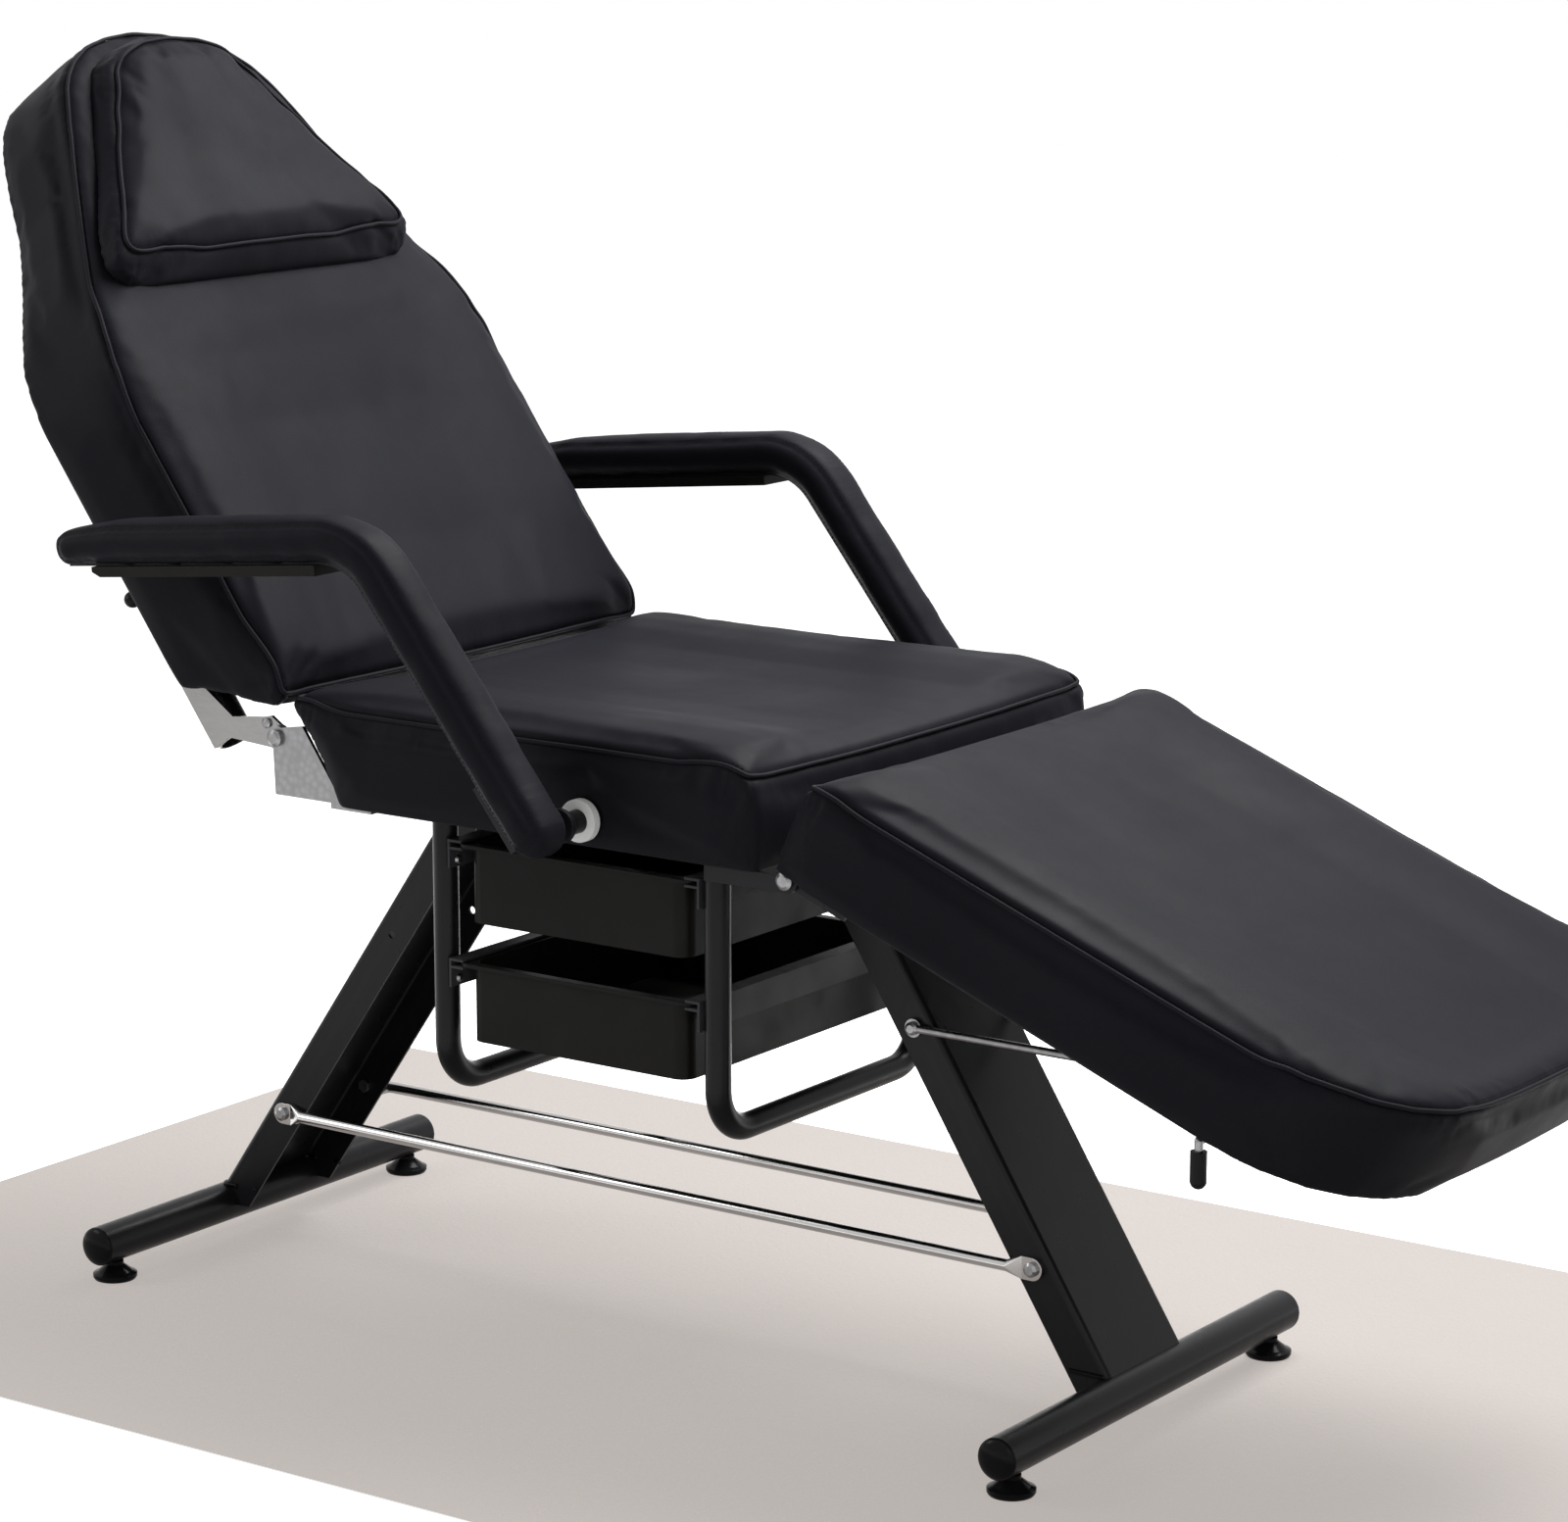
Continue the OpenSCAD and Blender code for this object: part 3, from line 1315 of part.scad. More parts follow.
// Board under the top stretch of the arm
module arm_base() {
    dir = [-cos(arm_rise), -sin(arm_rise)];
    out = [-sin(arm_rise), cos(arm_rise)];
    near = [arm_corner[0], arm_corner[2]] + dir * arm_cut;
    far = [arm_corner[0], arm_corner[2]] + dir * arm_top_length * (1 - base_end_share);
    color([0.06, 0.06, 0.06]) y_plate(arm_side - base_w / 2, arm_side + base_w / 2) polygon([
        near + out * arm_low, far + out * arm_low,
        far + out * (arm_low - 0.5 * base_thick), far - dir * base_thick + out * (arm_low - base_thick),
        near + out * (arm_low - base_thick)
    ]);
}

// Pad: a rounded section carried along the arm's line, smaller at both ends
pad_end_shares = [0.55, 0.86];
pad_nose_falls = [0.5, 0.42, 0.34, 0.06];
function pad_section(scale_w, out_low, out_high) =
    let (w = arm_pad_w / 2 * scale_w, mid = (out_low + out_high) / 2, h = (out_high - out_low) / 2)
    [for (a = [0 : 22.5 : 359]) let (
        c = cos(a), s = sin(a),
        cw = sign(c) * pow(abs(c), 0.6), sh = sign(s) * pow(abs(s), 0.6)
    ) each (a == 270 ? pad_groove(scale_w, out_low) : [[w * cw, mid + h * sh]])];

// Groove in the underside of the pad, in which the strip lies. It fades out in the rounded ends
function pad_groove(scale_w, out_low) =
    let (
        w = (strip_w / 2 + soft_gap) * scale_w,
        top_w = scale_w == 1 ? w : 0.9 * w,
        deep = (strip_thick + soft_gap) * (scale_w == 1 ? 1 : 0.1)
    )
    [[-w, out_low], [-top_w, out_low + deep], [top_w, out_low + deep], [w, out_low]];

module arm_pad() {
    lines = [for (out = [0, 1]) arm_line(out)];
    n = len(lines[0]);
    first_dir = [cos(arm_rise), sin(arm_rise)];
    last_dir = [cos(arm_lean), -sin(arm_lean)];
    tip = pad_round;
    rings = concat(
        [for (i = [0 : 1]) pad_ring(lines[0][0] - first_dir * tip * (1 - i * 0.62), lines[1][0] - lines[0][0],
            pad_end_shares[i], pad_nose_falls[i])],
        [for (i = [0 : n - 1]) pad_ring(lines[0][i], lines[1][i] - lines[0][i], 1,
            i < 2 ? pad_nose_falls[i + 2] : 0)],
        [for (i = [1 : -1 : 0]) pad_ring(lines[0][n - 1] + last_dir * tip * (1 - i * 0.62),
            lines[1][n - 1] - lines[0][n - 1], pad_end_shares[i], 0)]
    );
    color([0.12, 0.12, 0.13]) skin(rings);
}

// One ring of the pad around a point of the middle line. out is the outward direction there, and fall
// is how much lower the top is, as a share of half the pad's thickness
function pad_ring(at, out, share, fall) =
    [for (p = pad_section(share, arm_low * share, -arm_low * share * (1 - fall)))
        [at[0] + out[0] * p[1], arm_side + p[0], at[1] + out[1] * p[1]]];

module arm_socket() {
    color([0.3, 0.3, 0.3]) translate([arm_hinge[0], 0, arm_hinge[2]]) difference() {
        union() {
            y_bar(socket_d, half_w - socket_length + soft_gap, half_w);
            box([-socket_saddle / 2, half_w - socket_length, seat_under + board_thick - arm_hinge[2]],
                [socket_saddle / 2, half_w - board_inset, 0]);
        }
        y_bar(spigot_d + 2 * run_gap, half_w - socket_length - over, half_w + over);
    }
}

module arm_bush() {
    color([0.93, 0.93, 0.93]) translate([arm_hinge[0], 0, arm_hinge[2]]) difference() {
        y_bar(bush_d, half_w, half_w + bush_h);
        y_bar(spigot_d + 2 * run_gap, half_w - over, half_w + bush_h + over);
    }
}

module arm_socket_near() {
    mirror([0, 1, 0]) arm_socket();
}

module arm_socket_far() {
    arm_socket();
}

module arm_bush_near() {
    mirror([0, 1, 0]) arm_bush();
}

module arm_bush_far() {
    arm_bush();
}

module arm_frame_near() {
    mirror([0, 1, 0]) arm_frame();
}

module arm_frame_far() {
    arm_frame();
}

module arm_base_near() {
    mirror([0, 1, 0]) arm_base();
}

module arm_base_far() {
    arm_base();
}

module arm_pad_near() {
    mirror([0, 1, 0]) arm_pad();
}

module arm_pad_far() {
    arm_pad();
}

// The whole bed stands with the middle of its length at the origin
module placed() {
    translate([-middle_x, 0, 0]) children();
}

placed() rear_leg_channel();
placed() front_leg_channel();
placed() rear_foot_tube();
placed() front_foot_tube();
placed() foot_tube_caps();
placed() tie_rod_near();
placed() tie_rod_far();
placed() tie_rod_bolts();
placed() seat_side_rails();
placed() seat_cross_tubes();
placed() seat_board();
placed() seat_cushion();
placed() rear_tray_frame();
placed() front_tray_frame();
placed() upper_tray_runners();
placed() lower_tray_runners();
placed() runner_screws();
placed() back_hinge_plate_near();
placed() back_hinge_plate_far();
placed() leg_hinge_plate_near();
placed() leg_hinge_plate_far();
placed() hinge_bolts();
placed() ratchet_sector();
placed() arm_socket_near();
placed() arm_socket_far();
placed() arm_bush_near();
placed() arm_bush_far();
placed() prop_bolts();
placed() back_board();
placed() back_cushion();
placed() back_tube_near();
placed() back_tube_far();
placed() back_tube_clips();
placed() back_tab_bolts();
placed() back_lower_crossbar();
placed() back_release_crossbar();
placed() head_pillow();
placed() release_shaft();
placed() release_pawl();
placed() release_knob();
placed() leg_board();
placed() leg_cushion();
placed() leg_rail_near();
placed() leg_rail_far();
placed() leg_racks();
placed() leg_prop();
placed() prop_grip();
placed() arm_frame_near();
placed() arm_base_near();
placed() arm_pad_near();
placed() arm_frame_far();
placed() arm_base_far();
placed() arm_pad_far();
placed() upper_tray();
placed() lower_tray();
placed() level_foot_rear_near();
placed() level_foot_rear_far();
placed() level_foot_front_near();
placed() level_foot_front_far();
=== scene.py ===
"""Beauty bed: upholstery, finishes, small hardware and a pale studio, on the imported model's frame."""

import json
import math

import bmesh
import bpy
import numpy as np
from bpy.props import FloatProperty, FloatVectorProperty, IntProperty, PointerProperty
from bpy.types import Operator, Panel, PropertyGroup
from mathutils import Matrix, Vector
from mathutils.bvhtree import BVHTree
from mathutils.kdtree import KDTree


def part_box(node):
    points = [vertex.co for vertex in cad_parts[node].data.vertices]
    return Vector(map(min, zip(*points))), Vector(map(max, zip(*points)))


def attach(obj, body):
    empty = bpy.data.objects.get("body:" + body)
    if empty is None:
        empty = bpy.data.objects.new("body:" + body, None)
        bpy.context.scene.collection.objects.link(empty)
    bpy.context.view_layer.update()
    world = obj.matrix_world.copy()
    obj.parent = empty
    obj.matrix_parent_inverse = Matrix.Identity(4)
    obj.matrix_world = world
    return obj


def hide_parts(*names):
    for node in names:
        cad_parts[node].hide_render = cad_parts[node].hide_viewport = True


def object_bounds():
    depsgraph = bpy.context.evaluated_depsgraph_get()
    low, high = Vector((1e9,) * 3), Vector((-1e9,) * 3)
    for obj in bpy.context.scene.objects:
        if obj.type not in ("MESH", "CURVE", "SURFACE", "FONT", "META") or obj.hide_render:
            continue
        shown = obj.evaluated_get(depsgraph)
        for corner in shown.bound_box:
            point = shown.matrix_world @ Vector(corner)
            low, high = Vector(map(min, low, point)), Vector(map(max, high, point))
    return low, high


bl_info = {
    "name": "Beauty bed",
    "version": (1, 0, 0),
    "blender": (4, 5, 0),
    "location": "View3D > Sidebar > Bed",
    "description": "Upholsters and finishes the packed beauty bed and lights it in a pale studio",
    "category": "Object",
}

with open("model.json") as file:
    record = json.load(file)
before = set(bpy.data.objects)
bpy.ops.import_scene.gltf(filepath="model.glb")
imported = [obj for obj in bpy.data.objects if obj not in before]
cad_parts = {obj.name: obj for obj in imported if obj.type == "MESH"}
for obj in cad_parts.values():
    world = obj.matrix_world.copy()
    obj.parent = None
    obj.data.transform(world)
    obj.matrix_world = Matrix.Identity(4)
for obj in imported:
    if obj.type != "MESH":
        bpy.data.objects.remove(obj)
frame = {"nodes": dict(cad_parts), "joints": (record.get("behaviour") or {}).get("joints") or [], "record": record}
cad_low, cad_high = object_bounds()
nodes = frame["nodes"]
joints = {joint["name"]: joint for joint in frame["joints"]}
back_tilt = -math.radians(joints["back_hinge"]["range_deg"][0])
leg_tilt = -math.radians(joints["leg_rest_hinge"]["range_deg"][0])

UP = Vector((0, 0, 1))

# Upholstery: how far it works from its boards, sides and seams
HELD_REACH = 0.007
HELD_SLOPE = -0.6
SLACK_SHARE, SWELL_SHARE, FULL_SHARE = 0.6, 1.2, 0.35
SKIRT_HEIGHT, FLARE_HEIGHT, FLARE_REACH, FOOT_REACH = 0.013, 0.08, 0.08, 0.06
FLARE_WIDTH_SHARE, FOOT_SHARE = 0.7, 0.4
SEAM_STEP = 0.004
PUCKER_FADE, PUCKER_START = 0.025, 0.004
PLEAT_PLACES = (-1.6, -0.5, 0.6, 1.5)
PLEAT_PITCH, PLEAT_WIDTH, PLEAT_RISE, PLEAT_FADE = 0.011, 0.0028, 0.01, 0.05

# Studio: the edges of the floor and the mat, and the lamps as size, place and aim from the bed's middle
FLOOR_HALF, FLOOR_LEVEL = 14, -0.002
MAT_EDGES, MAT_LEVEL = (-0.975, 1.7, -0.565, 0.64), -0.0005
LAMPS = {
    "key": ((2.4, 1.6), (0.5, 1.1, 2.1), (0, 0, 0)),
    "fill": ((2.0, 1.6), (2.6, -2.6, 1.2), (0, 0, 0)),
    "side": ((0.9, 0.9), (-1.9, -1.5, 0.9), (-0.7, 0, 0.4)),
}


# Sizes and colours


class BedUpholstery(PropertyGroup):
    voxel: FloatProperty(
        name="Mesh size", description="Size of the faces of a cushion before it swells",
        default=0.006, min=0.003, max=0.012, unit="LENGTH")
    swell: FloatProperty(
        name="Swell", description="How far a cover may swell beyond its cut",
        default=0.004, min=0.0, max=0.012, unit="LENGTH")
    pressure: FloatProperty(
        name="Pressure", description="Pressure of the foam against the cover",
        default=4.0, min=0.0, max=10.0)
    steps: IntProperty(
        name="Steps", description="Steps of the cloth simulation", default=16, min=4, max=30)
    welt: FloatProperty(
        name="Welt radius", description="Radius of the rolled seam along a cushion's edge",
        default=0.0021, min=0.001, max=0.005, unit="LENGTH")
    groove: FloatProperty(
        name="Seam depth", description="How deep the cover is drawn in along a seam",
        default=0.0024, min=0.0, max=0.006, unit="LENGTH")
    groove_width: FloatProperty(
        name="Seam width", description="Width of the drawn-in strip along a seam",
        default=0.0055, min=0.002, max=0.015, unit="LENGTH")
    pucker: FloatProperty(
        name="Pucker height", description="Height of the small puckers beside a seam",
        default=0.0009, min=0.0, max=0.003, unit="LENGTH")
    pucker_length: FloatProperty(
        name="Pucker length", description="Distance from one pucker to the next",
        default=0.022, min=0.008, max=0.06, unit="LENGTH")
    pleat: FloatProperty(
        name="Pleat depth", description="Depth of the gathered pleats at a cushion's corners",
        default=0.0022, min=0.0, max=0.006, unit="LENGTH")
    flare: FloatProperty(
        name="Flare", description="How far the sides of the back stand out behind its board",
        default=0.0075, min=0.0, max=0.009, unit="LENGTH")
    stitch: FloatProperty(
        name="Stitch length", description="Length of one stitch", default=0.0045,
        min=0.002, max=0.01, unit="LENGTH")
    stitch_inset: FloatProperty(
        name="Stitch inset", description="Distance of the stitching from its seam",
        default=0.007, min=0.003, max=0.015, unit="LENGTH")
    thread: FloatProperty(
        name="Thread radius", description="Radius of the sewing thread",
        default=0.0004, min=0.0002, max=0.001, unit="LENGTH")


class BedHardware(PropertyGroup):
    screw: FloatProperty(
        name="Screw head", description="Radius of a screw's head",
        default=0.005, min=0.003, max=0.008, unit="LENGTH")
    bead: FloatProperty(
        name="Weld bead", description="Radius of a weld bead",
        default=0.0025, min=0.001, max=0.005, unit="LENGTH")
    staple: FloatProperty(
        name="Staple", description="Width of a staple", default=0.009, min=0.005, max=0.014, unit="LENGTH")
    staple_wire: FloatProperty(
        name="Staple wire", description="Half the width of a staple's wire", default=0.0003,
        min=0.0002, max=0.0008, unit="LENGTH")
    staple_spacing: FloatProperty(
        name="Staple spacing", description="Distance from one staple to the next", default=0.042,
        min=0.02, max=0.08, unit="LENGTH")
    staple_inset: FloatProperty(
        name="Staple inset", description="Distance of the staples from their board's edge",
        default=0.011, min=0.006, max=0.03, unit="LENGTH")
    rail_screw_inset: FloatProperty(
        name="Rail screw inset", description="Distance of the rails' screws from their outer side",
        default=0.015, min=0.005, max=0.03, unit="LENGTH")
    clip_screw_inset: FloatProperty(
        name="Clip screw inset", description="Distance of a clip's screw from the foot's edge",
        default=0.007, min=0.004, max=0.01, unit="LENGTH")
    edge: FloatProperty(
        name="Edge rounding", description="Radius that softens the edges of sheet metal in the light",
        default=0.0009, min=0.0, max=0.003, unit="LENGTH")


class BedColours(PropertyGroup):
    leather: FloatVectorProperty(
        name="Leatherette", description="Colour of the covers", subtype="COLOR",
        default=(0.0088, 0.0090, 0.0118), min=0, max=1)
    leather_light: FloatVectorProperty(
        name="Leatherette, rubbed", description="Colour of the covers where they are rubbed",
        subtype="COLOR", default=(0.0145, 0.0147, 0.0180), min=0, max=1)
    thread: FloatVectorProperty(
        name="Thread", description="Colour of the sewing thread", subtype="COLOR",
        default=(0.006, 0.006, 0.0068), min=0, max=1)
    paint: FloatVectorProperty(
        name="Powder coat", description="Colour of the painted steel", subtype="COLOR",
        default=(0.0068, 0.0068, 0.0078), min=0, max=1)
    chrome: FloatVectorProperty(
        name="Chrome", description="Colour of the chromed steel", subtype="COLOR",
        default=(0.52, 0.51, 0.505), min=0, max=1)
    zinc: FloatVectorProperty(
        name="Zinc", description="Colour of the zinc plated steel", subtype="COLOR",
        default=(0.27, 0.265, 0.27), min=0, max=1)
    tray: FloatVectorProperty(
        name="Trays", description="Colour of the moulded trays", subtype="COLOR",
        default=(0.0085, 0.008, 0.0072), min=0, max=1)
    plastic: FloatVectorProperty(
        name="Gloss plastic", description="Colour of the caps, knobs and feet", subtype="COLOR",
        default=(0.009, 0.009, 0.010), min=0, max=1)
    runner: FloatVectorProperty(
        name="Runners", description="Colour of the tray runners and sockets", subtype="COLOR",
        default=(0.05, 0.05, 0.054), min=0, max=1)
    lining: FloatVectorProperty(
        name="Lining", description="Colour of the woven lining over the boards", subtype="COLOR",
        default=(0.022, 0.022, 0.024), min=0, max=1)
    nylon: FloatVectorProperty(
        name="Bushes", description="Colour of the arms' bushes", subtype="COLOR",
        default=(0.86, 0.86, 0.84), min=0, max=1)
    floor: FloatVectorProperty(
        name="Floor", description="Colour of the floor round the mat", subtype="COLOR",
        default=(0.95, 0.95, 0.95), min=0, max=1)
    mat: FloatVectorProperty(
        name="Mat", description="Colour of the mat that the bed stands on", subtype="COLOR",
        default=(0.66, 0.61, 0.58), min=0, max=1)


class BedStudio(PropertyGroup):
    azimuth: FloatProperty(
        name="Camera azimuth", description="Direction of the camera, from the near side to the foot end",
        default=math.radians(35.12), subtype="ANGLE")
    elevation: FloatProperty(
        name="Camera elevation", description="Height of the camera above the horizon",
        default=math.radians(11.586), subtype="ANGLE")
    distance: FloatProperty(
        name="Camera distance", description="Distance of the camera from its aim",
        default=4.4847, min=1, max=20, unit="LENGTH")
    aim_x: FloatProperty(
        name="Aim along", description="Where the camera aims, along the bed", default=0.03805,
        unit="LENGTH")
    aim_z: FloatProperty(
        name="Aim height", description="Height that the camera aims at", default=0.5804,
        unit="LENGTH")
    lens: FloatProperty(
        name="Focal length", description="Focal length in millimetres on a 36 mm sensor",
        default=107.42, min=20, max=300)
    key_power: FloatProperty(
        name="Key light", description="Power of the large light above", default=150.0, min=0, subtype="POWER")
    fill_power: FloatProperty(
        name="Fill light", description="Power of the light beside the camera", default=10.0, min=0,
        subtype="POWER")
    side_power: FloatProperty(
        name="Side light", description="Power of the small light beside the head end", default=14.0, min=0,
        subtype="POWER")
    ambient: FloatProperty(
        name="Ambient", description="Strength of the room's soft light", default=0.22, min=0, max=2)


GROUPS = {
    "bed_upholstery": BedUpholstery,
    "bed_hardware": BedHardware,
    "bed_colours": BedColours,
    "bed_studio": BedStudio,
}


# Shared mesh helpers


def link(name, data):
    piece = bpy.data.objects.new(name, data)
    bpy.context.scene.collection.objects.link(piece)
    return piece


def evaluated_mesh(piece):
    """The mesh of a piece with its modifiers, as a new mesh."""
    graph = bpy.context.evaluated_depsgraph_get()
    return bpy.data.meshes.new_from_object(piece.evaluated_get(graph), depsgraph=graph)


def level_turn(tilt):
    """The turn that lays a tilted cushion flat, with its face up."""
    return Matrix.Rotation(-tilt, 4, "Y")


def turned_mesh(node, turn):
    """A copy of a node's mesh, turned."""
    mesh = nodes[node].data.copy()
    mesh.transform(turn)
    return mesh


def bake(piece):
    """Applies every modifier of a piece."""
    mesh = evaluated_mesh(piece)
    old = piece.data
    piece.modifiers.clear()
    piece.data = mesh
    bpy.data.meshes.remove(old)


def read(mesh, what="co"):
    values = np.zeros(len(mesh.vertices) * 3, np.float32)
    mesh.vertices.foreach_get(what, values)
    return values.reshape(-1, 3).astype(float)


def write(mesh, points):
    mesh.vertices.foreach_set("co", points.astype(np.float32).ravel())
    mesh.update()


def tree_of(mesh):
    return BVHTree.FromPolygons(
        [v.co.copy() for v in mesh.vertices], [tuple(p.vertices) for p in mesh.polygons])


def smooth_faces(mesh):
    mesh.polygons.foreach_set("use_smooth", [True] * len(mesh.polygons))
    mesh.update()


def tube(name, points, radius, closed=True, sides=8):
    """A round cord along points, as a mesh."""
    points = [Vector(p) for p in points]
    n = len(points)
    mesh = bpy.data.meshes.new(name)
    bm = bmesh.new()
    rings = []
    side = None
    for i, point in enumerate(points):
        ahead = points[(i + 1) % n] if closed or i < n - 1 else point
        behind = points[i - 1] if closed or i > 0 else point
        along = (ahead - behind).normalized()
        if side is None:
            side = along.orthogonal()
        side = (side - along * side.dot(along)).normalized()
        other = along.cross(side)
        rings.append([
            bm.verts.new(point + radius * (math.cos(a) * side + math.sin(a) * other))
            for a in (math.tau * k / sides for k in range(sides))
        ])
    pairs = zip(rings, rings[1:] + rings[:1]) if closed else zip(rings, rings[1:])
    for low, high in pairs:
        for k in range(sides):
            j = (k + 1) % sides
            bm.faces.new((low[k], low[j], high[j], high[k]))
    if not closed:
        bm.faces.new(rings[0][::-1])
        bm.faces.new(rings[-1])
    bmesh.ops.recalc_face_normals(bm, faces=bm.faces)
    bm.to_mesh(mesh)
    bm.free()
    smooth_faces(mesh)
    return link(name, mesh)


# Outlines and seams


def convex_outline(points):
    """Convex outline of points in a plane, counterclockwise."""
    points = sorted(set(map(tuple, np.round(points, 5))))

    def half(row):
        chain = []
        for p in row:
            while len(chain) > 1 and (
                (chain[-1][0] - chain[-2][0]) * (p[1] - chain[-2][1])
                <= (chain[-1][1] - chain[-2][1]) * (p[0] - chain[-2][0])
            ):
                chain.pop()
            chain.append(p)
        return chain[:-1]

    return np.array(half(points) + half(points[::-1]))


def spaced(points, spacing):
    """A closed line with its points at an even spacing."""
    loop = np.vstack([points, points[:1]])
    steps = np.linalg.norm(np.diff(loop, axis=0), axis=1)
    at = np.concatenate([[0], np.cumsum(steps)])
    count = max(8, int(at[-1] / spacing))
    where = np.linspace(0, at[-1], count, endpoint=False)
    return np.stack([np.interp(where, at, loop[:, k]) for k in range(loop.shape[1])], axis=1)


def evened(points, rounds):
    """A closed line with its bumps averaged out."""
    for _ in range(rounds):
        points = 0.5 * points + 0.25 * (np.roll(points, 1, 0) + np.roll(points, -1, 0))
    return points


def outward(outline):
    along = np.roll(outline, -2, 0) - np.roll(outline, 2, 0)
    along /= np.linalg.norm(along, axis=1, keepdims=True) + 1e-9
    return np.stack([along[:, 1], -along[:, 0]], axis=1)


def edge_seam(mesh):
    """The line where a cushion's face turns into its sides: met from outside and above at each place."""
    tree = tree_of(mesh)
    points = read(mesh)
    low, high = points[:, 2].min(), points[:, 2].max()
    upper = points[points[:, 2] > low + 0.6 * (high - low)]
    outline = evened(spaced(convex_outline(upper[:, :2]), SEAM_STEP), 3)
    seam, outs = [], []
    for place, out in zip(outline, outward(outline)):
        inner = Vector((*(place - 0.012 * out), high + 0.05))
        top = tree.ray_cast(inner, -UP)[0]
        if top is None:
            continue
        slant = (Vector((*out, 0)) + UP).normalized()
        hit = tree.ray_cast(Vector((*place, top.z)) + 0.08 * slant, -slant)[0]
        if hit is None:
            continue
        seam.append(hit)
        outs.append(out)
    return evened(np.array(seam), 2), np.array(outs)


def cut_lines(mesh, place, normal):
    """The closed lines along which a plane cuts a mesh."""
    bm = bmesh.new()
    bm.from_mesh(mesh)
    cut = bmesh.ops.bisect_plane(
        bm, geom=[*bm.verts, *bm.edges, *bm.faces], plane_co=place, plane_no=normal)["geom_cut"]
    edges = dict.fromkeys(e for e in cut if isinstance(e, bmesh.types.BMEdge))
    lines = []
    while edges:
        edge = next(iter(edges))
        del edges[edge]
        line = [edge.verts[0], edge.verts[1]]
        found = True
        while found:
            found = next((e for e in line[-1].link_edges if e in edges), None)
            if found:
                del edges[found]
                line.append(found.other_vert(line[-1]))
        lines.append(np.array([v.co for v in line[:-1]]))
    bm.free()
    return [line for line in lines if len(line) > 2]


def side_seams(mesh, middle, offset):
    """The lines where planes beside the middle one cut a long pad."""
    return [
        evened(spaced(
            max(cut_lines(mesh, (0, middle + side * offset, 0), (0, 1, 0)), key=len), SEAM_STEP), 3)
        for side in (-1, 1)
    ]


def random_line(length, spacing, seed):
    """Smooth random heights from -1 to 1 along a closed line of that length."""
    count = max(4, int(length / spacing))
    heights = np.random.default_rng(seed).uniform(-1, 1, count)
    fine = np.linspace(0, count, count * 8, endpoint=False)
    low = fine.astype(int)
    t = fine - low
    t = t * t * (3 - 2 * t)
    return heights[low % count] * (1 - t) + heights[(low + 1) % count] * t


def corner_places(outs, reach):
    """Places of a seam where its outline turns sharply."""
    turn = np.einsum("ij,ij->i", np.roll(outs, reach, 0), np.roll(outs, -reach, 0))
    return [
        i for i in range(len(turn))
        if turn[i] < 0.5 and turn[i] <= min(turn[(i + k) % len(turn)] for k in range(-reach, reach + 1))
    ]


def draw_in(mesh, seam, outs, sizes, seed):
    """Draws a cover in along a seam, with puckers beside it and pleats under its corners."""
    points, normals = read(mesh), read(mesh, "normal")
    count = len(seam)
    pitch = np.linalg.norm(np.diff(seam, axis=0), axis=1).mean()
    tree = KDTree(count)
    for i, p in enumerate(seam):
        tree.insert(p, i)
    tree.balance()
    found = [tree.find(p) for p in points]
    index = np.array([f[1] for f in found])
    away = np.array([f[2] for f in found])
    depth = sizes.groove * np.exp(-((away / sizes.groove_width) ** 2))
    line = random_line(count * pitch, sizes.pucker_length, seed)
    rise = line[(index * len(line) // count) % len(line)]
    depth += sizes.pucker * rise * np.exp(-away / PUCKER_FADE) * (1 - np.exp(-away / PUCKER_START))
    if outs is not None:
        below = np.clip((seam[index, 2] - points[:, 2]) / PLEAT_RISE, 0, 1)
        for corner in corner_places(outs, 8):
            along = ((index - corner + count // 2) % count - count // 2) * pitch
            for place in PLEAT_PLACES:
                wave = np.exp(-(((along - place * PLEAT_PITCH) / PLEAT_WIDTH) ** 2))
                depth += sizes.pleat * wave * below * np.exp(-away / PLEAT_FADE)
    write(mesh, points - normals * depth[:, None])


def lay_welt(name, seam, sizes):
    """The rolled edge of a seam, half sunk between the two covers."""
    return tube(name, seam, sizes.welt)


def lay_stitches(name, mesh, seam, sizes, inward):
    """A line of stitches beside a seam: the thread rises over the cover and dips into it by turns."""
    tree = tree_of(mesh)
    steps = spaced(seam + inward * sizes.stitch_inset, sizes.stitch / 2)
    thread = []
    for i, place in enumerate(steps):
        spot, normal, _, _ = tree.find_nearest(Vector(place))
        height = sizes.thread * 0.5 if i % 2 else -2.2 * sizes.thread
        thread.append(spot + normal * height)
    return tube(name, thread, sizes.thread, sides=5)


# Cushions


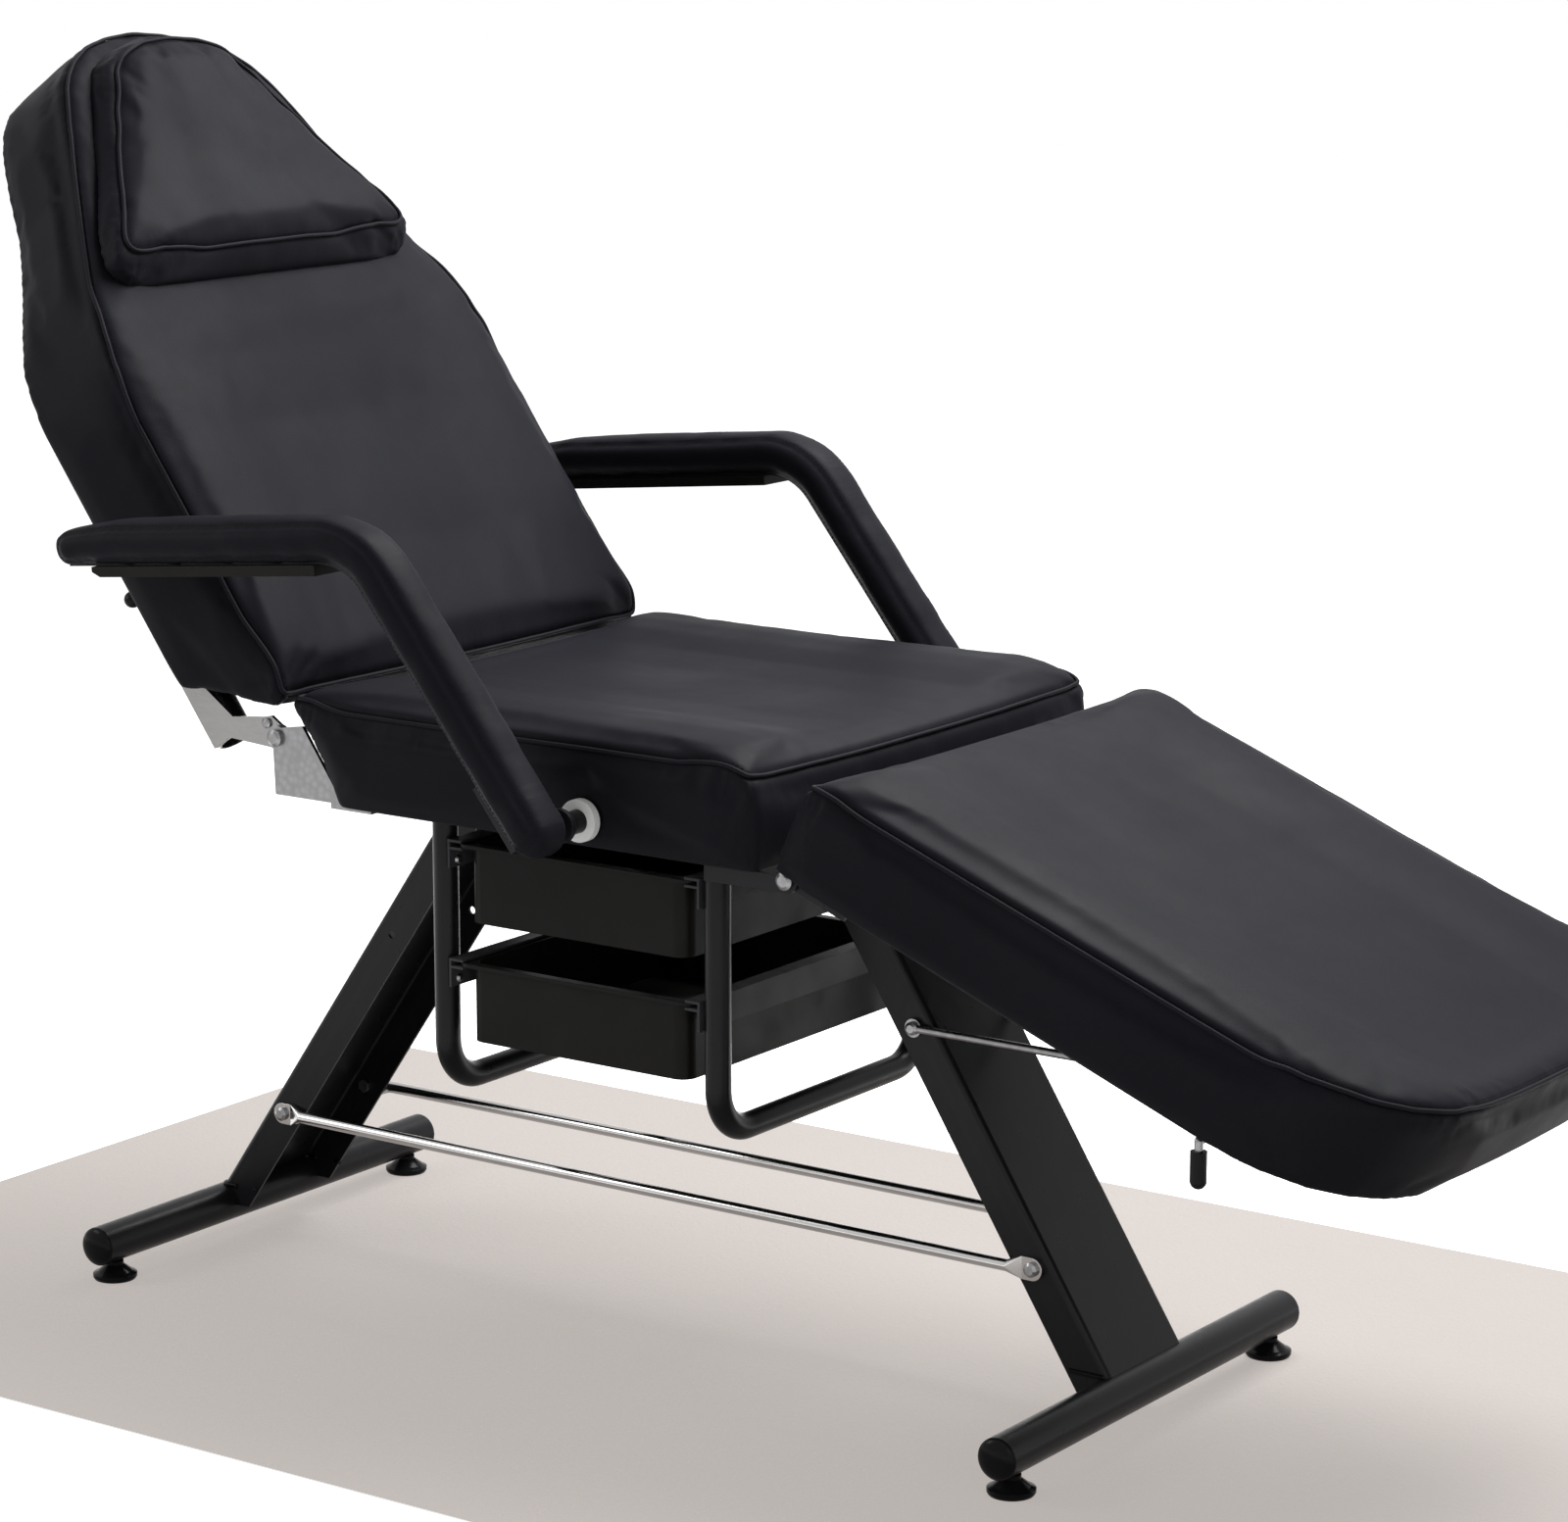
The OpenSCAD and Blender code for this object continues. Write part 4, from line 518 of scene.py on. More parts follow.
def softened(name, node, turn, kept, sizes):
    """A cushion of a CAD node's shape, swollen against its cover.
    It is worked in a frame where its face looks up. What lies within reach of the kept nodes stays."""
    piece = link(name, turned_mesh(node, turn))
    remesh = piece.modifiers.new("Remesh", "REMESH")
    remesh.mode = "VOXEL"
    remesh.voxel_size = sizes.voxel
    bake(piece)
    mesh = piece.data
    held = read(mesh, "normal")[:, 2] < HELD_SLOPE
    points = read(mesh)
    for other in kept:
        near = turned_mesh(other, turn)
        tree = tree_of(near)
        held |= np.array([tree.find_nearest(Vector(p), HELD_REACH)[0] is not None for p in points])
        bpy.data.meshes.remove(near)
    loose = piece.vertex_groups.new(name="loose")
    loose.add([int(i) for i in np.flatnonzero(~held)], 1.0, "REPLACE")
    pinned = piece.vertex_groups.new(name="pinned")
    pinned.add([int(i) for i in np.flatnonzero(held)], 1.0, "REPLACE")
    smooth = piece.modifiers.new("Smooth", "SMOOTH")
    smooth.iterations = 4
    smooth.vertex_group = "loose"
    bake(piece)
    swell(piece, held, sizes)
    divide = piece.modifiers.new("Divide", "SUBSURF")
    divide.levels = 1
    bake(piece)
    smooth_faces(piece.data)
    return piece


def swell(piece, held, sizes):
    """Lets the cover swell under pressure, no further than its size allows."""
    mesh = piece.data
    start = read(mesh) - read(mesh, "normal") * np.where(held, 0, SLACK_SHARE * sizes.swell)[:, None]
    write(mesh, start)
    cloth = piece.modifiers.new("Cloth", "CLOTH")
    cloth.settings.quality = 4
    cloth.settings.mass = 0.3
    cloth.settings.tension_stiffness = 12
    cloth.settings.compression_stiffness = 12
    cloth.settings.shear_stiffness = 5
    cloth.settings.bending_stiffness = 2
    cloth.settings.use_pressure = True
    cloth.settings.uniform_pressure_force = sizes.pressure
    cloth.settings.effector_weights.gravity = 0
    cloth.settings.vertex_group_mass = "pinned"
    cloth.collision_settings.use_collision = False
    cloth.point_cache.frame_start = 1
    cloth.point_cache.frame_end = sizes.steps
    for step in range(1, sizes.steps + 1):
        bpy.context.scene.frame_set(step)
    bake(piece)
    bpy.context.scene.frame_set(1)
    moved = read(piece.data) - start
    far = np.linalg.norm(moved, axis=1, keepdims=True)
    moved *= np.minimum(1, sizes.swell * SWELL_SHARE / np.maximum(far, 1e-9))
    write(piece.data, start + moved)
    fuller = np.where(held, 0, FULL_SHARE * sizes.swell)[:, None]
    write(piece.data, read(piece.data) + read(piece.data, "normal") * fuller)


def flare(mesh, depth):
    """Lets the rear edge of a cover's sides stand further back and out, and its foot sink to the seat."""
    points = read(mesh)
    foot = points[:, 0].max()
    points[:, 0] += FOOT_SHARE * depth * np.clip((points[:, 0] - foot) / FOOT_REACH + 1, 0, 1)
    above = points[:, 2] - points[:, 2].min()
    aside = np.abs(points[:, 1])
    beside = np.clip((aside - 0.5 * aside.max()) / FLARE_REACH, 0, 1)
    points[:, 2] -= depth * np.clip(1 - above / SKIRT_HEIGHT, 0, 1)
    outer = FLARE_WIDTH_SHARE * depth * beside * np.clip(1 - above / FLARE_HEIGHT, 0, 1)
    points[:, 1] += np.sign(points[:, 1]) * outer
    write(mesh, points)


def upholster(name, node, body, tilt, kept, seed, flared=0.0):
    """A whole boxed cushion: its cover, the welt round its face and the stitching beside it."""
    sizes = bpy.context.scene.bed_upholstery
    turn = level_turn(tilt)
    cover = softened(f"{name}_cover", node, turn, kept, sizes)
    if flared:
        flare(cover.data, flared)
    seam, outs = edge_seam(cover.data)
    draw_in(cover.data, seam, outs, sizes, seed)
    welt = lay_welt(f"{name}_welt", seam, sizes)
    inward = np.hstack([-outs, np.zeros((len(outs), 1))])
    stitches = lay_stitches(f"{name}_stitching", cover.data, seam, sizes, inward)
    for piece, finish in ((cover, "leatherette"), (welt, "leatherette"), (stitches, "thread")):
        piece.data.transform(turn.inverted())
        fit(piece, body, "leatherette", finish)
    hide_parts(node)
    return cover


# Finishes


class Shader:
    """A node material in the making: a principled shader and the textures that feed it."""

    def __init__(self, name, **constants):
        self.material = bpy.data.materials.new(name)
        self.material.use_nodes = True
        self.tree = self.material.node_tree
        self.shader = self.tree.nodes["Principled BSDF"]
        for socket, value in constants.items():
            self.shader.inputs[socket.replace("_", " ")].default_value = value
        place = self.tree.nodes.new("ShaderNodeTexCoord")
        self.place = place.outputs["Object"]
        self.normal = None

    def node(self, kind, links=(), **values):
        made = self.tree.nodes.new(f"ShaderNode{kind}")
        for key, value in values.items():
            setattr(made, key, value)
        for socket, source in dict(links).items():
            self.join(source, made.inputs[socket])
        return made

    def join(self, source, target):
        if isinstance(source, bpy.types.NodeSocket):
            self.tree.links.new(source, target)
        else:
            target.default_value = source

    def stretched(self, x=1.0, y=1.0, z=1.0):
        return self.node("Mapping", {"Vector": self.place, "Scale": (x, y, z)}).outputs["Vector"]

    def noise(self, scale, detail=3.0, rough=0.55, place=None):
        made = self.node("TexNoise", {
            "Vector": place or self.place, "Scale": scale, "Detail": detail, "Roughness": rough})
        return made.outputs["Fac"]

    def cells(self, scale, feature="F1", place=None):
        made = self.node("TexVoronoi", {"Vector": place or self.place, "Scale": scale}, feature=feature)
        return made.outputs["Distance"]

    def ranged(self, value, low, high, to_low, to_high):
        made = self.node("MapRange", {
            "Value": value, "From Min": low, "From Max": high, "To Min": to_low, "To Max": to_high})
        return made.outputs["Result"]

    def mixed(self, fac, low, high):
        made = self.node("Mix", data_type="RGBA")
        self.join(fac, made.inputs["Factor"])
        self.join((*low, 1), made.inputs["A"]) if not isinstance(low, bpy.types.NodeSocket) else self.join(
            low, made.inputs["A"])
        self.join((*high, 1), made.inputs["B"])
        return made.outputs["Result"]

    def bump(self, height, distance, strength=1.0):
        links = {"Height": height, "Distance": distance, "Strength": strength}
        if self.normal:
            links["Normal"] = self.normal
        self.normal = self.node("Bump", links).outputs["Normal"]

    def rounded(self, radius):
        self.normal = self.node("Bevel", {"Radius": radius}, samples=4).outputs["Normal"]

    def done(self, colour=None, roughness=None):
        if colour is not None:
            self.join(colour, self.shader.inputs["Base Color"])
        if roughness is not None:
            self.join(roughness, self.shader.inputs["Roughness"])
        if self.normal:
            self.join(self.normal, self.shader.inputs["Normal"])
        return self.material


def leatherette():
    """Black synthetic leather: fine pebbled grain, faint creases, rubbed a little lighter on its edges."""
    tones = bpy.context.scene.bed_colours
    made = Shader("leatherette", Specular_IOR_Level=0.03)
    cloud = made.noise(3.5, 4)
    rubbed = made.ranged(made.node("NewGeometry").outputs["Pointiness"], 0.5, 0.56, 0.0, 0.8)
    blend = made.node("Math", {0: rubbed, 1: made.ranged(cloud, 0.35, 0.7, 0.0, 0.45)}, operation="MAXIMUM")
    colour = made.mixed(blend.outputs[0], tones.leather, tones.leather_light)
    made.bump(made.noise(22, 3, 0.5), 0.0006, 0.14)
    made.bump(made.cells(780, "SMOOTH_F1"), 0.00016, 0.55)
    made.bump(made.noise(2200, 2), 0.00005, 0.4)
    rough = made.ranged(made.noise(9, 5, 0.65), 0.25, 0.75, 0.42, 0.56)
    return made.done(colour, rough)


def thread():
    tones = bpy.context.scene.bed_colours
    made = Shader("thread", Specular_IOR_Level=0.02)
    made.bump(made.noise(1800, 2), 0.0001, 0.6)
    colour = made.mixed(made.noise(400), tones.thread, [1.6 * c for c in tones.thread])
    return made.done(colour, made.ranged(made.noise(300), 0, 1, 0.5, 0.7))


def black_paint():
    """Glossy powder coat: slight orange peel, fine scuffs, and edges that catch the light."""
    scene = bpy.context.scene
    tone = scene.bed_colours.paint
    made = Shader("black_paint", Specular_IOR_Level=0.11, Coat_Weight=0.03, Coat_Roughness=0.2)
    made.rounded(scene.bed_hardware.edge)
    made.bump(made.noise(420, 2), 0.00012, 0.22)
    worn = made.ranged(made.node("NewGeometry").outputs["Pointiness"], 0.53, 0.62, 0.0, 0.5)
    colour = made.mixed(worn, tone, [3.2 * c for c in tone])
    scuffs = made.noise(60, 6, 0.7, made.stretched(1, 1, 0.35))
    return made.done(colour, made.ranged(scuffs, 0.35, 0.75, 0.27, 0.42))


def chrome():
    scene = bpy.context.scene
    tone = scene.bed_colours.chrome
    made = Shader("chrome", Metallic=1.0)
    made.rounded(0.5 * scene.bed_hardware.edge)
    made.bump(made.noise(900, 2), 0.00002, 0.2)
    smear = made.noise(14, 6, 0.7)
    colour = made.mixed(made.ranged(smear, 0.3, 0.8, 0, 1), tone, [0.82 * c for c in tone])
    return made.done(colour, made.ranged(smear, 0.3, 0.8, 0.07, 0.2))


def steel():
    """Satin chrome of the back's tubes and their flattened tabs, duller than the rods."""
    scene = bpy.context.scene
    tone = [0.56 * c for c in scene.bed_colours.chrome]
    made = Shader("steel", Metallic=1.0)
    made.rounded(0.5 * scene.bed_hardware.edge)
    smear = made.noise(18, 6, 0.7, made.stretched(0.3, 1, 1))
    colour = made.mixed(made.ranged(smear, 0.3, 0.8, 0, 1), tone, [0.7 * c for c in tone])
    return made.done(colour, made.ranged(smear, 0.3, 0.8, 0.16, 0.34))


def zinc():
    """Bright zinc plating: soft spangle, rolling lines and a duller film in places."""
    scene = bpy.context.scene
    tone = scene.bed_colours.zinc
    made = Shader("zinc", Metallic=1.0)
    made.rounded(0.5 * scene.bed_hardware.edge)
    made.bump(made.noise(260, 3, 0.6, made.stretched(0.1, 1, 1)), 0.00005, 0.25)
    spangle = made.cells(140)
    film = made.noise(22, 5, 0.65)
    colour = made.mixed(made.ranged(spangle, 0.1, 0.7, 0, 0.7), tone, [0.72 * c for c in tone])
    return made.done(colour, made.ranged(film, 0.3, 0.75, 0.24, 0.42))


def moulded(name, tone, low, high, edge, grain=1300):
    """Moulded plastic: fine spark grain, slight shine differences and softly rounded edges."""
    made = Shader(name, Specular_IOR_Level=0.07)
    made.rounded(edge)
    made.bump(made.noise(grain, 3), 0.00009, 0.45)
    cloud = made.noise(7, 4)
    colour = made.mixed(made.ranged(cloud, 0.3, 0.7, 0, 1), tone, [1.35 * c for c in tone])
    return made.done(colour, made.ranged(made.noise(30, 4), 0.3, 0.7, low, high))


def black_plastic():
    scene = bpy.context.scene
    return moulded("black_plastic", scene.bed_colours.tray, 0.32, 0.46, 1.4 * scene.bed_hardware.edge)


def gloss_black():
    scene = bpy.context.scene
    return moulded("gloss_black", scene.bed_colours.plastic, 0.14, 0.26, scene.bed_hardware.edge, 600)


def white_nylon():
    scene = bpy.context.scene
    return moulded("white_nylon", scene.bed_colours.nylon, 0.35, 0.5, scene.bed_hardware.edge)


def runner_grey():
    scene = bpy.context.scene
    return moulded("runner_grey", scene.bed_colours.runner, 0.35, 0.5, 0.6 * scene.bed_hardware.edge, 500)


def plywood():
    """Black woven lining over the plywood boards."""
    tone = bpy.context.scene.bed_colours.lining
    made = Shader("plywood", Specular_IOR_Level=0.05)
    warp = made.node("TexWave", {"Vector": made.place, "Scale": 320, "Distortion": 0.6}, bands_direction="X")
    weft = made.node("TexWave", {"Vector": made.place, "Scale": 320, "Distortion": 0.6}, bands_direction="Y")
    made.bump(warp.outputs["Fac"], 0.00012, 0.5)
    made.bump(weft.outputs["Fac"], 0.00012, 0.5)
    colour = made.mixed(made.noise(90, 4), tone, [2.0 * c for c in tone])
    return made.done(colour, made.ranged(made.noise(60), 0, 1, 0.75, 0.92))


FINISHES = {
    "leatherette": leatherette,
    "thread": thread,
    "black_paint": black_paint,
    "chrome": chrome,
    "steel": steel,
    "zinc": zinc,
    "black_plastic": black_plastic,
    "gloss_black": gloss_black,
    "white_nylon": white_nylon,
    "runner_grey": runner_grey,
    "plywood": plywood,
}


def finish_of(name):
    return bpy.data.materials.get(f"bed_{name}") or named(FINISHES[name](), f"bed_{name}")


def named(material, name):
    material.name = name
    return material


def fit(piece, body, slot, finish=None):
    """Lets a piece ride on its body, in its material slot and finish."""
    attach(piece, body)
    piece.data.materials.clear()
    piece.data.materials.append(finish_of(finish or slot))


# Hardware


def screw_head(bm, place, face, radius):
    """A domed head with a cross recess, facing the given way."""
    rings, sides = 7, 24
    turn = face.to_track_quat("Z", "Y").to_matrix()
    grid = []
    for ring in range(rings + 1):
        share = ring / rings
        row = []
        for k in range(sides):
            angle = math.tau * k / sides
            x, y = radius * share * math.cos(angle), radius * share * math.sin(angle)
            z = 0.45 * radius * math.sqrt(max(0, 1 - share**2.6))
            if min(abs(x), abs(y)) < 0.13 * radius and share < 0.62:
                z -= 0.3 * radius
            row.append(bm.verts.new(place + turn @ Vector((x, y, z))))
        grid.append(row)
    for low, high in zip(grid, grid[1:]):
        for k in range(sides):
            j = (k + 1) % sides
            bm.faces.new((low[k], high[k], high[j], low[j]))


def screws(name, body, places, face, slot="zinc"):
    """Screw heads at places on one body, joined in one piece."""
    mesh = bpy.data.meshes.new(name)
    bm = bmesh.new()
    for place in places:
        screw_head(bm, Vector(place), Vector(face), bpy.context.scene.bed_hardware.screw)
    bmesh.ops.remove_doubles(bm, verts=bm.verts, dist=1e-6)
    bm.to_mesh(mesh)
    bm.free()
    smooth_faces(mesh)
    fit(link(name, mesh), body, slot)


def clip_places():
    """Where the tubes' clips are screwed to the back's board, and the way their screws face."""
    turn = level_turn(back_tilt)
    mesh = turned_mesh("back_tube_clips", turn)
    points, tree = read(mesh), tree_of(mesh)
    inner = np.abs(points[:, 1]).min() + bpy.context.scene.bed_hardware.clip_screw_inset
    along = np.sort(points[:, 0])
    places = []
    for group in np.split(along, np.flatnonzero(np.diff(along) > 0.02) + 1):
        for y in (-inner, inner):
            below = Vector(((group[0] + group[-1]) / 2, y, points[:, 2].min() - 0.05))
            hit = tree.ray_cast(below, UP)[0]
            if hit:
                places.append(turn.inverted() @ hit)
    bpy.data.meshes.remove(mesh)
    return places, turn.inverted().to_3x3() @ -UP


def weld_beads(name, body, node, height):
    """Rippled beads round a post, where it stands on another bar at that height."""
    step, pitch, rippled = 0.0022, 0.006, 0.18
    size = bpy.context.scene.bed_hardware.bead
    lines = cut_lines(nodes[node].data, (0, 0, height), (0, 0, 1))
    for i, line in enumerate(sorted(lines, key=lambda points: tuple(points.mean(0).round(3)))):
        middle = line.mean(0)
        path = spaced(line, step)
        ripple = 1 + rippled * random_line(len(path) * step, pitch, 70 + i)
        out = path - middle
        out /= np.linalg.norm(out, axis=1, keepdims=True) + 1e-9
        path += out * (0.4 * size * np.interp(
            np.linspace(0, 1, len(path)), np.linspace(0, 1, len(ripple)), ripple))[:, None]
        fit(tube(f"{name}_{i}", path, size), body, "black_paint")


def staples(name, node, body, tilt):
    """The staples that hold a cushion's cover and lining to the underside of its board."""
    sizes = bpy.context.scene.bed_hardware
    wire = sizes.staple_wire
    ring = [(wire, 0.67 * wire), (wire, -2 * wire), (-wire, -2 * wire), (-wire, 0.67 * wire)]
    turn = level_turn(tilt)
    mesh = turned_mesh(node, turn)
    points = read(mesh)
    level = points[:, 2].min()
    outline = spaced(convex_outline(points[:, :2]), sizes.staple_spacing)
    ways = outward(outline)
    bpy.data.meshes.remove(mesh)
    made = bpy.data.meshes.new(name)
    bm = bmesh.new()
    for place, out in zip(outline - sizes.staple_inset * ways, ways):
        half = Vector((-out[1], out[0], 0)) * sizes.staple / 2
        middle = Vector((*place, level))
        ends = [
            [bm.verts.new(middle + far * half + a * Vector((*out, 0)) + b * UP) for a, b in ring]
            for far in (-1, 1)
        ]
        for k in range(4):
            bm.faces.new((ends[0][k], ends[0][(k + 1) % 4], ends[1][(k + 1) % 4], ends[1][k]))
        bm.faces.new(ends[0][::-1])
        bm.faces.new(ends[1])
    bmesh.ops.recalc_face_normals(bm, faces=bm.faces)
    bm.transform(turn.inverted())
    bm.to_mesh(made)
    bm.free()
    fit(link(name, made), body, "zinc")


# Operators


class BED_OT_camera(Operator):
    """Put the camera where the photograph was taken from"""

    bl_idname = "bed.camera"
    bl_label = "Camera"

    def execute(self, context):
        studio = context.scene.bed_studio
        data = bpy.data.cameras.new("camera")
        data.lens, data.sensor_width = studio.lens, 36
        data.clip_start, data.clip_end = 0.1, 60
        camera = link("camera", data)
        level = math.cos(studio.elevation)
        back = Vector((
            math.sin(studio.azimuth) * level, -math.cos(studio.azimuth) * level,
            math.sin(studio.elevation)))
        camera.location = Vector((studio.aim_x, 0, studio.aim_z)) + studio.distance * back
        camera.rotation_mode = "QUATERNION"
        camera.rotation_quaternion = back.to_track_quat("Z", "Y")
        context.scene.camera = camera
        return {"FINISHED"}


class BED_OT_stage(Operator):
    """Lay the pale floor and its mat and set up the soft studio lights"""

    bl_idname = "bed.stage"
    bl_label = "Studio"

    def floor_material(self, name, tone, share, seen, nap):
        """A matt floor that looks as pale as the photograph's and keeps a share of the bed's shadow."""
        made = Shader(name, Specular_IOR_Level=0.1)
        low, high = [0.9 * share * c for c in tone], [share * c for c in tone]
        colour = made.mixed(made.ranged(made.noise(2.5, 9, 0.75), 0.3, 0.7, 0, 1), low, high)
        made.bump(made.noise(160, 4, 0.7), nap, 0.5)
        material = made.done(colour, made.ranged(made.noise(5), 0, 1, 0.75, 0.9))
        made.join(tuple((*tone, 1)), made.shader.inputs["Emission Color"])
        path = made.node("LightPath").outputs
        shown = made.node("Math", {0: path["Is Camera Ray"], 1: path["Is Glossy Ray"]}, operation="MAXIMUM")
        through = made.node(
            "Math", {0: shown.outputs[0], 1: path["Is Transmission Ray"]}, operation="MAXIMUM")
        glow = made.node("Math", {0: through.outputs[0], 1: seen}, operation="MULTIPLY")
        made.join(glow.outputs[0], made.shader.inputs["Emission Strength"])
        return material

    def sheet(self, name, x1, x2, y1, y2, z, material):
        mesh = bpy.data.meshes.new(name)
        mesh.from_pydata([(x1, y1, z), (x2, y1, z), (x2, y2, z), (x1, y2, z)], [], [(0, 1, 2, 3)])
        mesh.materials.append(material)
        link(name, mesh)

    def lamp(self, name, power, size, place, aim):
        data = bpy.data.lights.new(name, "AREA")
        data.shape, data.energy = "RECTANGLE", power
        data.size, data.size_y = size
        lamp = link(name, data)
        lamp.location = place
        lamp.rotation_mode = "QUATERNION"
        lamp.rotation_quaternion = (place - aim).to_track_quat("Z", "Y")

    def execute(self, context):
        scene = context.scene
        studio, tones = scene.bed_studio, scene.bed_colours
        scene.view_settings.view_transform = "Standard"
        world = bpy.data.worlds.new("room")
        scene.world = world
        world.use_nodes = True
        tree = world.node_tree
        shade = tree.nodes["Background"]
        path = tree.nodes.new("ShaderNodeLightPath")
        seen = tree.nodes.new("ShaderNodeMath")
        seen.operation = "MAXIMUM"
        tree.links.new(path.outputs["Is Camera Ray"], seen.inputs[0])
        tree.links.new(path.outputs["Is Transmission Ray"], seen.inputs[1])
        glossy = tree.nodes.new("ShaderNodeMath")
        glossy.operation = "MAXIMUM"
        tree.links.new(seen.outputs[0], glossy.inputs[0])
        tree.links.new(path.outputs["Is Glossy Ray"], glossy.inputs[1])
        strength = tree.nodes.new("ShaderNodeMapRange")
        tree.links.new(glossy.outputs[0], strength.inputs["Value"])
        strength.inputs["To Min"].default_value = studio.ambient
        strength.inputs["To Max"].default_value = 1.0
        tree.links.new(strength.outputs["Result"], shade.inputs["Strength"])
        shade.inputs["Color"].default_value = (1, 1, 1, 1)
        floor = self.floor_material("floor", tones.floor, share=1.0, seen=0.9, nap=0.0003)
        mat = self.floor_material("mat", tones.mat, share=0.3, seen=0.66, nap=0.004)
        self.sheet("floor", -FLOOR_HALF, FLOOR_HALF, -FLOOR_HALF, FLOOR_HALF, FLOOR_LEVEL, floor)
        self.sheet("mat", *MAT_EDGES, MAT_LEVEL, mat)
        middle = Vector((cad_low + cad_high) / 2)
        for name, (size, offset, aim) in LAMPS.items():
            power = getattr(studio, f"{name}_power")
            self.lamp(name, power, size, middle + Vector(offset), middle + Vector(aim))
        return {"FINISHED"}


class BED_OT_seat(Operator):
    """Upholster the seat"""

    bl_idname = "bed.seat"
    bl_label = "Seat cushion"

    def execute(self, context):
        kept = ("seat_board", "arm_socket_near", "arm_socket_far", "arm_bush_near", "arm_bush_far")
        upholster("seat", "seat_cushion", "base", 0, kept, 11)
        return {"FINISHED"}


class BED_OT_back(Operator):
    """Upholster the back"""

    bl_idname = "bed.back"
    bl_label = "Back cushion"

    def execute(self, context):
        flared = context.scene.bed_upholstery.flare
        upholster("back", "back_cushion", "back", back_tilt, ("back_board",), 23, flared)
        return {"FINISHED"}


class BED_OT_leg_rest(Operator):
    """Upholster the leg rest"""

    bl_idname = "bed.leg_rest"
    bl_label = "Leg rest cushion"

    def execute(self, context):
        upholster("leg_rest", "leg_cushion", "leg_rest", leg_tilt, ("leg_board",), 37)
        return {"FINISHED"}


class BED_OT_pillow(Operator):
    """Upholster the head pillow"""

    bl_idname = "bed.pillow"
    bl_label = "Head pillow"

    def execute(self, context):
        upholster("pillow", "head_pillow", "pillow", back_tilt, (), 41)
        return {"FINISHED"}


class BED_OT_arms(Operator):
    """Upholster the two arms"""

    bl_idname = "bed.arms"
    bl_label = "Arm pads"

    def execute(self, context):
        sizes = context.scene.bed_upholstery
        for seed, side in enumerate(("near", "far")):
            node = f"arm_pad_{side}"
            kept = (f"arm_frame_{side}", f"arm_base_{side}")
            cover = softened(f"arm_{side}_cover", node, Matrix.Identity(4), kept, sizes)
            low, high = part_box(node)
            middle, offset = (low.y + high.y) / 2, 0.4 * (high.y - low.y)
            seams = side_seams(cover.data, middle, offset)
            for seam in seams:
                draw_in(cover.data, seam, None, sizes, 50 + seed)
            fit(cover, f"arm_{side}", "leatherette")
            for edge, way, seam in zip(("low", "high"), (1, -1), seams):
                stitches = lay_stitches(
                    f"arm_{side}_{edge}_stitching", cover.data, seam, sizes, np.array([[0, way, 0]]))
                fit(stitches, f"arm_{side}", "leatherette", "thread")
            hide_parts(node)
        return {"FINISHED"}


